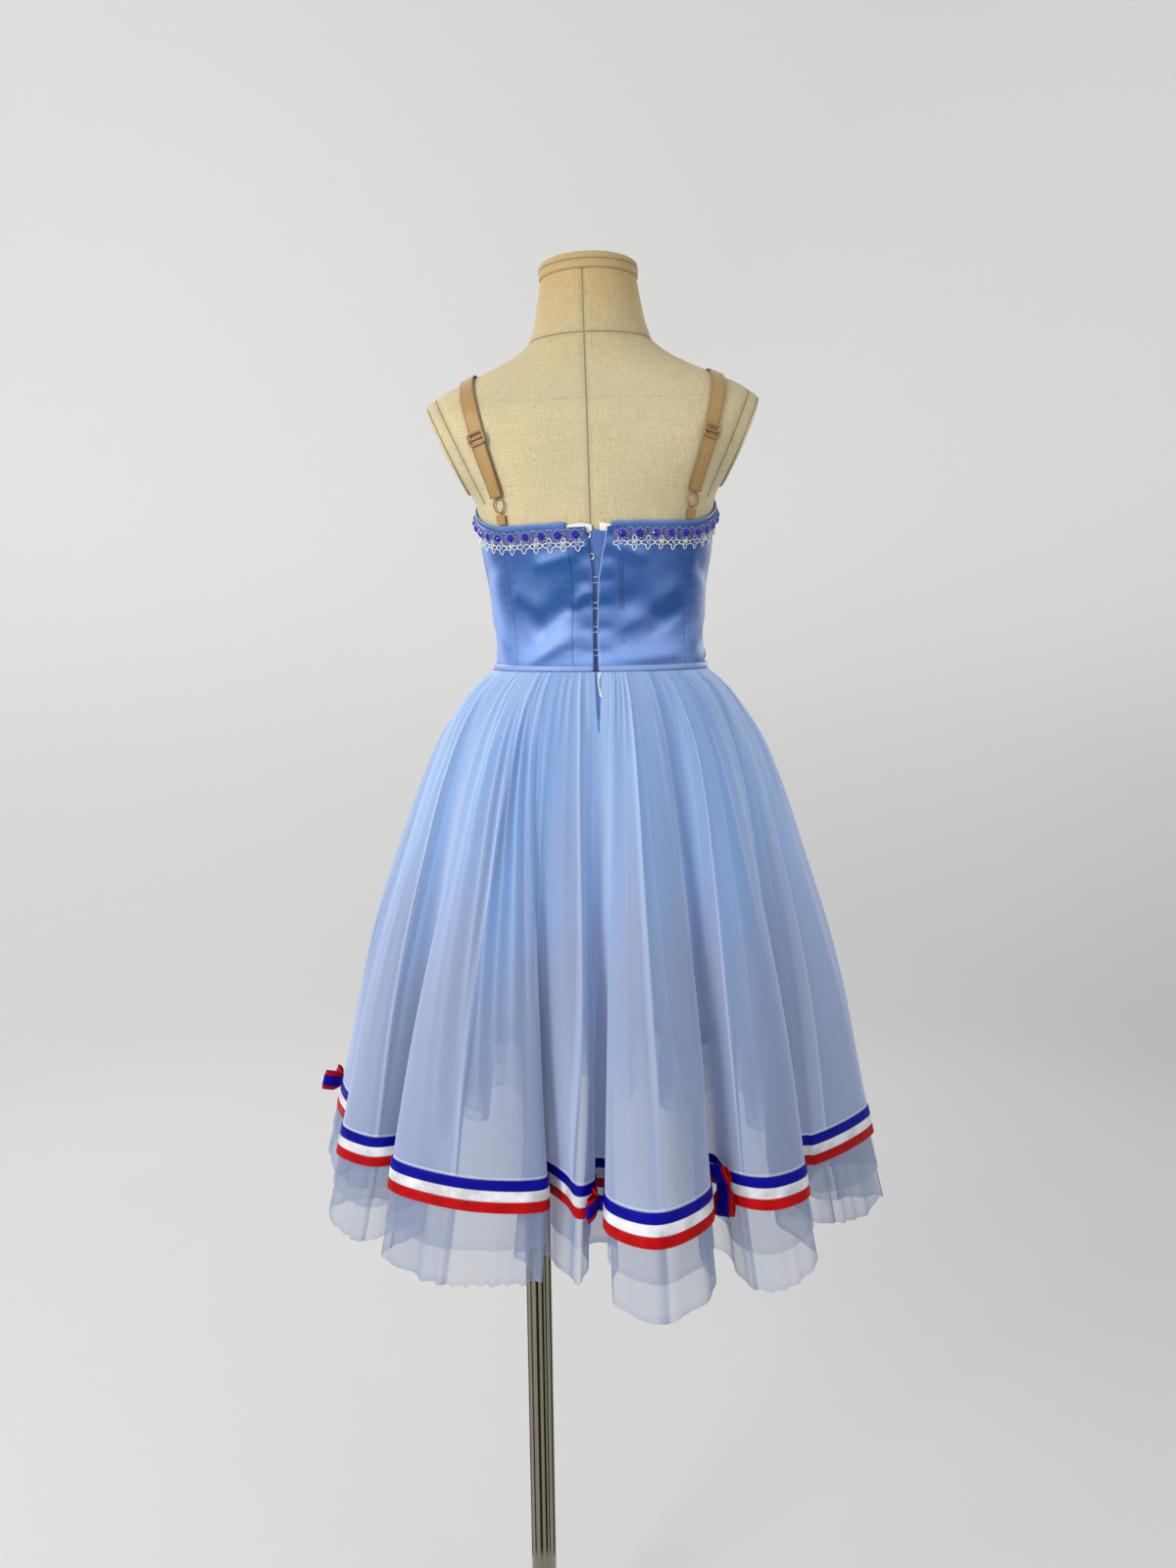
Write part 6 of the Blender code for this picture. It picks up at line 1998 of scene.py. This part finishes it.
def area_light(name, place, towards, power, size, tint):
    """A large soft lamp that the camera can't see."""
    lamp = configure(bpy.data.lights.new(name, "AREA"), shape="DISK", size=size, energy=power,
                     color=tint)
    holder = link_piece(bpy.data.objects.new(name, lamp))
    holder.location = place
    holder.rotation_euler = (Vector(towards) - Vector(place)).to_track_quat("-Z", "Y").to_euler()
    holder.visible_camera = False


def make_studio():
    """A round seamless floor and wall, soft lamps all round, and the camera."""
    profile = [(0.02, 0.0), (2.4, 0.0)]
    profile += [(2.4 + 0.8 * math.sin(turn), 0.8 - 0.8 * math.cos(turn))
                for turn in np.linspace(0.1, math.pi / 2, 12)]
    profile.append((3.2, 6.0))
    profile = np.array(profile)
    angle = full_turn(96)
    points = spots_at(profile[:, :1] * np.cos(angle), profile[:, :1] * np.sin(angle),
                      profile[:, 1:] - 0.0005)
    faces = grid_faces(len(profile), 96, True).tolist()
    faces.append(tuple(range(96)))
    new_mesh("studio", points.reshape(-1, 3), faces, studio_paint())

    middle = (FORM_OFFSET_X, 0.0, WAIST_HEIGHT)
    area_light("key_lamp", (1.7, 1.9, 2.0), middle, 47.0, 1.0, (1.0, 0.985, 0.96))
    area_light("fill_lamp", (-1.9, 1.6, 1.7), middle, 5.0, 1.4, (0.94, 0.97, 1.0))
    area_light("front_lamp", (1.2, -1.9, 2.5), middle, 20.0, 1.2, (1.0, 1.0, 1.0))
    area_light("front_fill_lamp", (-1.6, -1.6, 1.7), middle, 8.0, 1.4, (1.0, 1.0, 1.0))
    # Dark flags, at both sides and in wedges on the floor, that only glossy rays see: they paint dark
    # stripes into the reflections of the chrome and the satin.
    spots = [(side * 2.1, y, z) for side in (-1, 1)
             for y, z in ((-0.35, 0.02), (0.45, 0.02), (0.45, 1.9), (-0.35, 1.9))]
    for start, end in ((60, 86), (112, 132), (146, 158), (196, 222), (262, 276), (300, 326), (6, 22)):
        for turn, reach in ((start, 0.17), (end, 0.17), (end, 1.6), (start, 1.6)):
            angle = math.radians(turn)
            spots.append((reach * math.cos(angle), reach * math.sin(angle), 0.012))
    flags = new_mesh("dark_flags", np.array(spots), np.arange(len(spots)).reshape(-1, 4).tolist(),
                     Finish("dark flag", (0.02, 0.018, 0.015), 0.9).material)
    configure(flags, visible_camera=False, visible_diffuse=False, visible_shadow=False,
              visible_transmission=False)

    world = bpy.data.worlds.new("studio_air")
    world.use_nodes = True
    air = world.node_tree.nodes["Background"]
    air.inputs["Color"].default_value = (0.93, 0.95, 1.0, 1.0)
    air.inputs["Strength"].default_value = 0.48
    scene = bpy.context.scene
    scene.world = world
    scene.view_settings.view_transform = "Standard"
    configure(scene.cycles, transparent_max_bounces=40, max_bounces=10)

    lens = configure(bpy.data.cameras.new("camera"), sensor_fit="AUTO", sensor_width=36.0,
                     lens=25.875, clip_start=0.01)
    camera = link_piece(bpy.data.objects.new("camera", lens))
    camera.matrix_world = (Matrix.Translation((FORM_OFFSET_X + 0.014, 1.15, WAIST_HEIGHT + 0.05))
                           @ Matrix.Rotation(math.pi, 4, "Z")
                           @ Matrix.Rotation(math.radians(90.0 - 8.4), 4, "X")
                           @ Matrix.Rotation(math.radians(-0.63), 4, "Z"))
    scene.camera = camera


# ---- Operators, one for each piece or group of like pieces ----

class DRESS_OT_form(bpy.types.Operator):
    """Build the linen torso, its arm plates and its neck cap"""

    bl_idname = "dress.form"
    bl_label = "Dress form"

    def execute(self, context):
        piece, rims = make_torso()
        settle(piece, "linen", "form_torso")
        for rim, normal, side in rims:
            make_arm_plate(rim, normal, side)
        make_neck_cap()
        return {"FINISHED"}


class DRESS_OT_stand(bpy.types.Operator):
    """Build the polished pole, the base and the socket"""

    bl_idname = "dress.stand"
    bl_label = "Stand"

    def execute(self, context):
        make_stand()
        return {"FINISHED"}


class DRESS_OT_skirt(bpy.types.Operator):
    """Build the tulle overlay and the two petticoats under it"""

    bl_idname = "dress.skirt"
    bl_label = "Skirt"

    def execute(self, context):
        curve, _ = hem_curve()
        girth = len(curve) * HEM_STEP
        layers = (
            ("overlay_net", "overlay", SKIRT_COLUMN_STEP, SKIRT_DROP, 108, overlay_reach, "over",
             ((0.0, 0.52), (0.06, 0.44), (0.25, 0.42), (0.40, 0.40), (0.48, 0.38)), SLIT_DROP,
             0.0),
            ("petticoat_upper_net", "petticoat_upper", 4.3 * MM, UPPER_PETTICOAT_DROP, 96,
             upper_reach, "under",
             ((0.0, 0.72), (0.20, 0.60), (0.36, 0.52), (0.44, 0.46), (0.475, 0.33), (0.512, 0.33)),
             0.8 * SLIT_DROP, 0.0055),
            ("petticoat_lower_net", "petticoat_lower", 4.6 * MM, LOWER_PETTICOAT_DROP, 96,
             lower_reach, "under",
             ((0.0, 0.78), (0.20, 0.64), (0.36, 0.55), (0.44, 0.48), (0.475, 0.34), (0.545, 0.33)),
             None, 0.0070),
        )
        for name, node_name, step, hem, rows, reach, kind, density, slit, wave in layers:
            drops = layer_rows(SKIRT_TOP_DROP, hem, rows)
            piece = make_layer(name, node_name, curve, round(girth / step), drops, reach,
                               density, tulle(kind), slit, wave)
            wide = girth * (1 + HEM_FLARE * (hem - SKIRT_DROP))
            (wide + GATHERED_WIDTH) / 2 * hem
        return {"FINISHED"}


class DRESS_OT_ribbons(bpy.types.Operator):
    """Build the blue, white and red ribbons round the overlay's hem"""

    bl_idname = "dress.ribbons"
    bl_label = "Hem ribbons"

    def execute(self, context):
        curve, _ = hem_curve()
        pitch = sizes().ribbon_width + sizes().ribbon_gap
        for number, word in enumerate(("blue", "white", "red")):
            piece = make_ribbon(f"ribbon_{word}_band", word, f"hem_ribbon_{word}", curve,
                                RIBBON_TOP_DROP + GAP + number * pitch)
        return {"FINISHED"}


class DRESS_OT_bodice(bpy.types.Operator):
    """Build the satin panels, the underlap, the rolled top band and the sewing that shows"""

    bl_idname = "dress.bodice"
    bl_label = "Bodice"

    def execute(self, context):
        for name, start, end in panel_sides():
            make_panel(name, start, end)
        make_underlap()
        make_top_band()
        make_stitches()
        return {"FINISHED"}


class DRESS_OT_piping(bpy.types.Operator):
    """Build the satin piping round the waist"""

    bl_idname = "dress.piping"
    bl_label = "Waist piping"

    def execute(self, context):
        make_piping()
        return {"FINISHED"}


class DRESS_OT_tapes(bpy.types.Operator):
    """Build the white cotton tapes at the back opening"""

    bl_idname = "dress.tapes"
    bl_label = "Cotton tapes"

    def execute(self, context):
        make_top_tapes()
        make_waist_tape()
        return {"FINISHED"}


class DRESS_OT_braid(bpy.types.Operator):
    """Build the lace band, its stones and the looped white edging"""

    bl_idname = "dress.braid"
    bl_label = "Lace and edging"

    def execute(self, context):
        make_lace()
        make_edging()
        return {"FINISHED"}


class DRESS_OT_fasteners(bpy.types.Operator):
    """Build the wire hooks and eyes down the back"""

    bl_idname = "dress.fasteners"
    bl_label = "Hooks and eyes"

    def execute(self, context):
        make_fasteners()
        return {"FINISHED"}


class DRESS_OT_straps(bpy.types.Operator):
    """Build the elastic straps with their rings and sliders"""

    bl_idname = "dress.straps"
    bl_label = "Shoulder straps"

    def execute(self, context):
        make_straps()
        return {"FINISHED"}


class DRESS_OT_bows(bpy.types.Operator):
    """Build the small bows on the hem"""

    bl_idname = "dress.bows"
    bl_label = "Hem bows"

    def execute(self, context):
        make_bows()
        return {"FINISHED"}


class DRESS_OT_studio(bpy.types.Operator):
    """Build the plain round studio with its lamps and camera"""

    bl_idname = "dress.studio"
    bl_label = "Studio"

    def execute(self, context):
        make_studio()
        return {"FINISHED"}


OPERATORS = (DRESS_OT_form, DRESS_OT_stand, DRESS_OT_bodice, DRESS_OT_piping, DRESS_OT_tapes,
             DRESS_OT_braid, DRESS_OT_fasteners, DRESS_OT_straps, DRESS_OT_skirt,
             DRESS_OT_ribbons, DRESS_OT_bows, DRESS_OT_studio)


class DRESS_PT_panel(bpy.types.Panel):
    """The sizes and colours of the dress, and a button for each group of pieces"""

    bl_label = "Ballet Dress"
    bl_idname = "DRESS_PT_panel"
    bl_space_type = "VIEW_3D"
    bl_region_type = "UI"
    bl_category = "Ballet Dress"

    def draw(self, context):
        for settings in (context.scene.dress_sizes, context.scene.dress_colours):
            box = self.layout.box()
            for name in settings.__annotations__:
                box.prop(settings, name)
        column = self.layout.column(align=True)
        for operator in OPERATORS:
            column.operator(operator.bl_idname)


CLASSES = (DressSizes, DressColours, *OPERATORS, DRESS_PT_panel)


def register():
    for kind in CLASSES:
        bpy.utils.register_class(kind)
    bpy.types.Scene.dress_sizes = PointerProperty(type=DressSizes)
    bpy.types.Scene.dress_colours = PointerProperty(type=DressColours)


def unregister():
    del bpy.types.Scene.dress_colours
    del bpy.types.Scene.dress_sizes
    for kind in reversed(CLASSES):
        bpy.utils.unregister_class(kind)


def main():
    register()
    for operator in OPERATORS:
        group, name = operator.bl_idname.split(".")
        getattr(getattr(bpy.ops, group), name)()


if __name__ == "__main__":
    main()
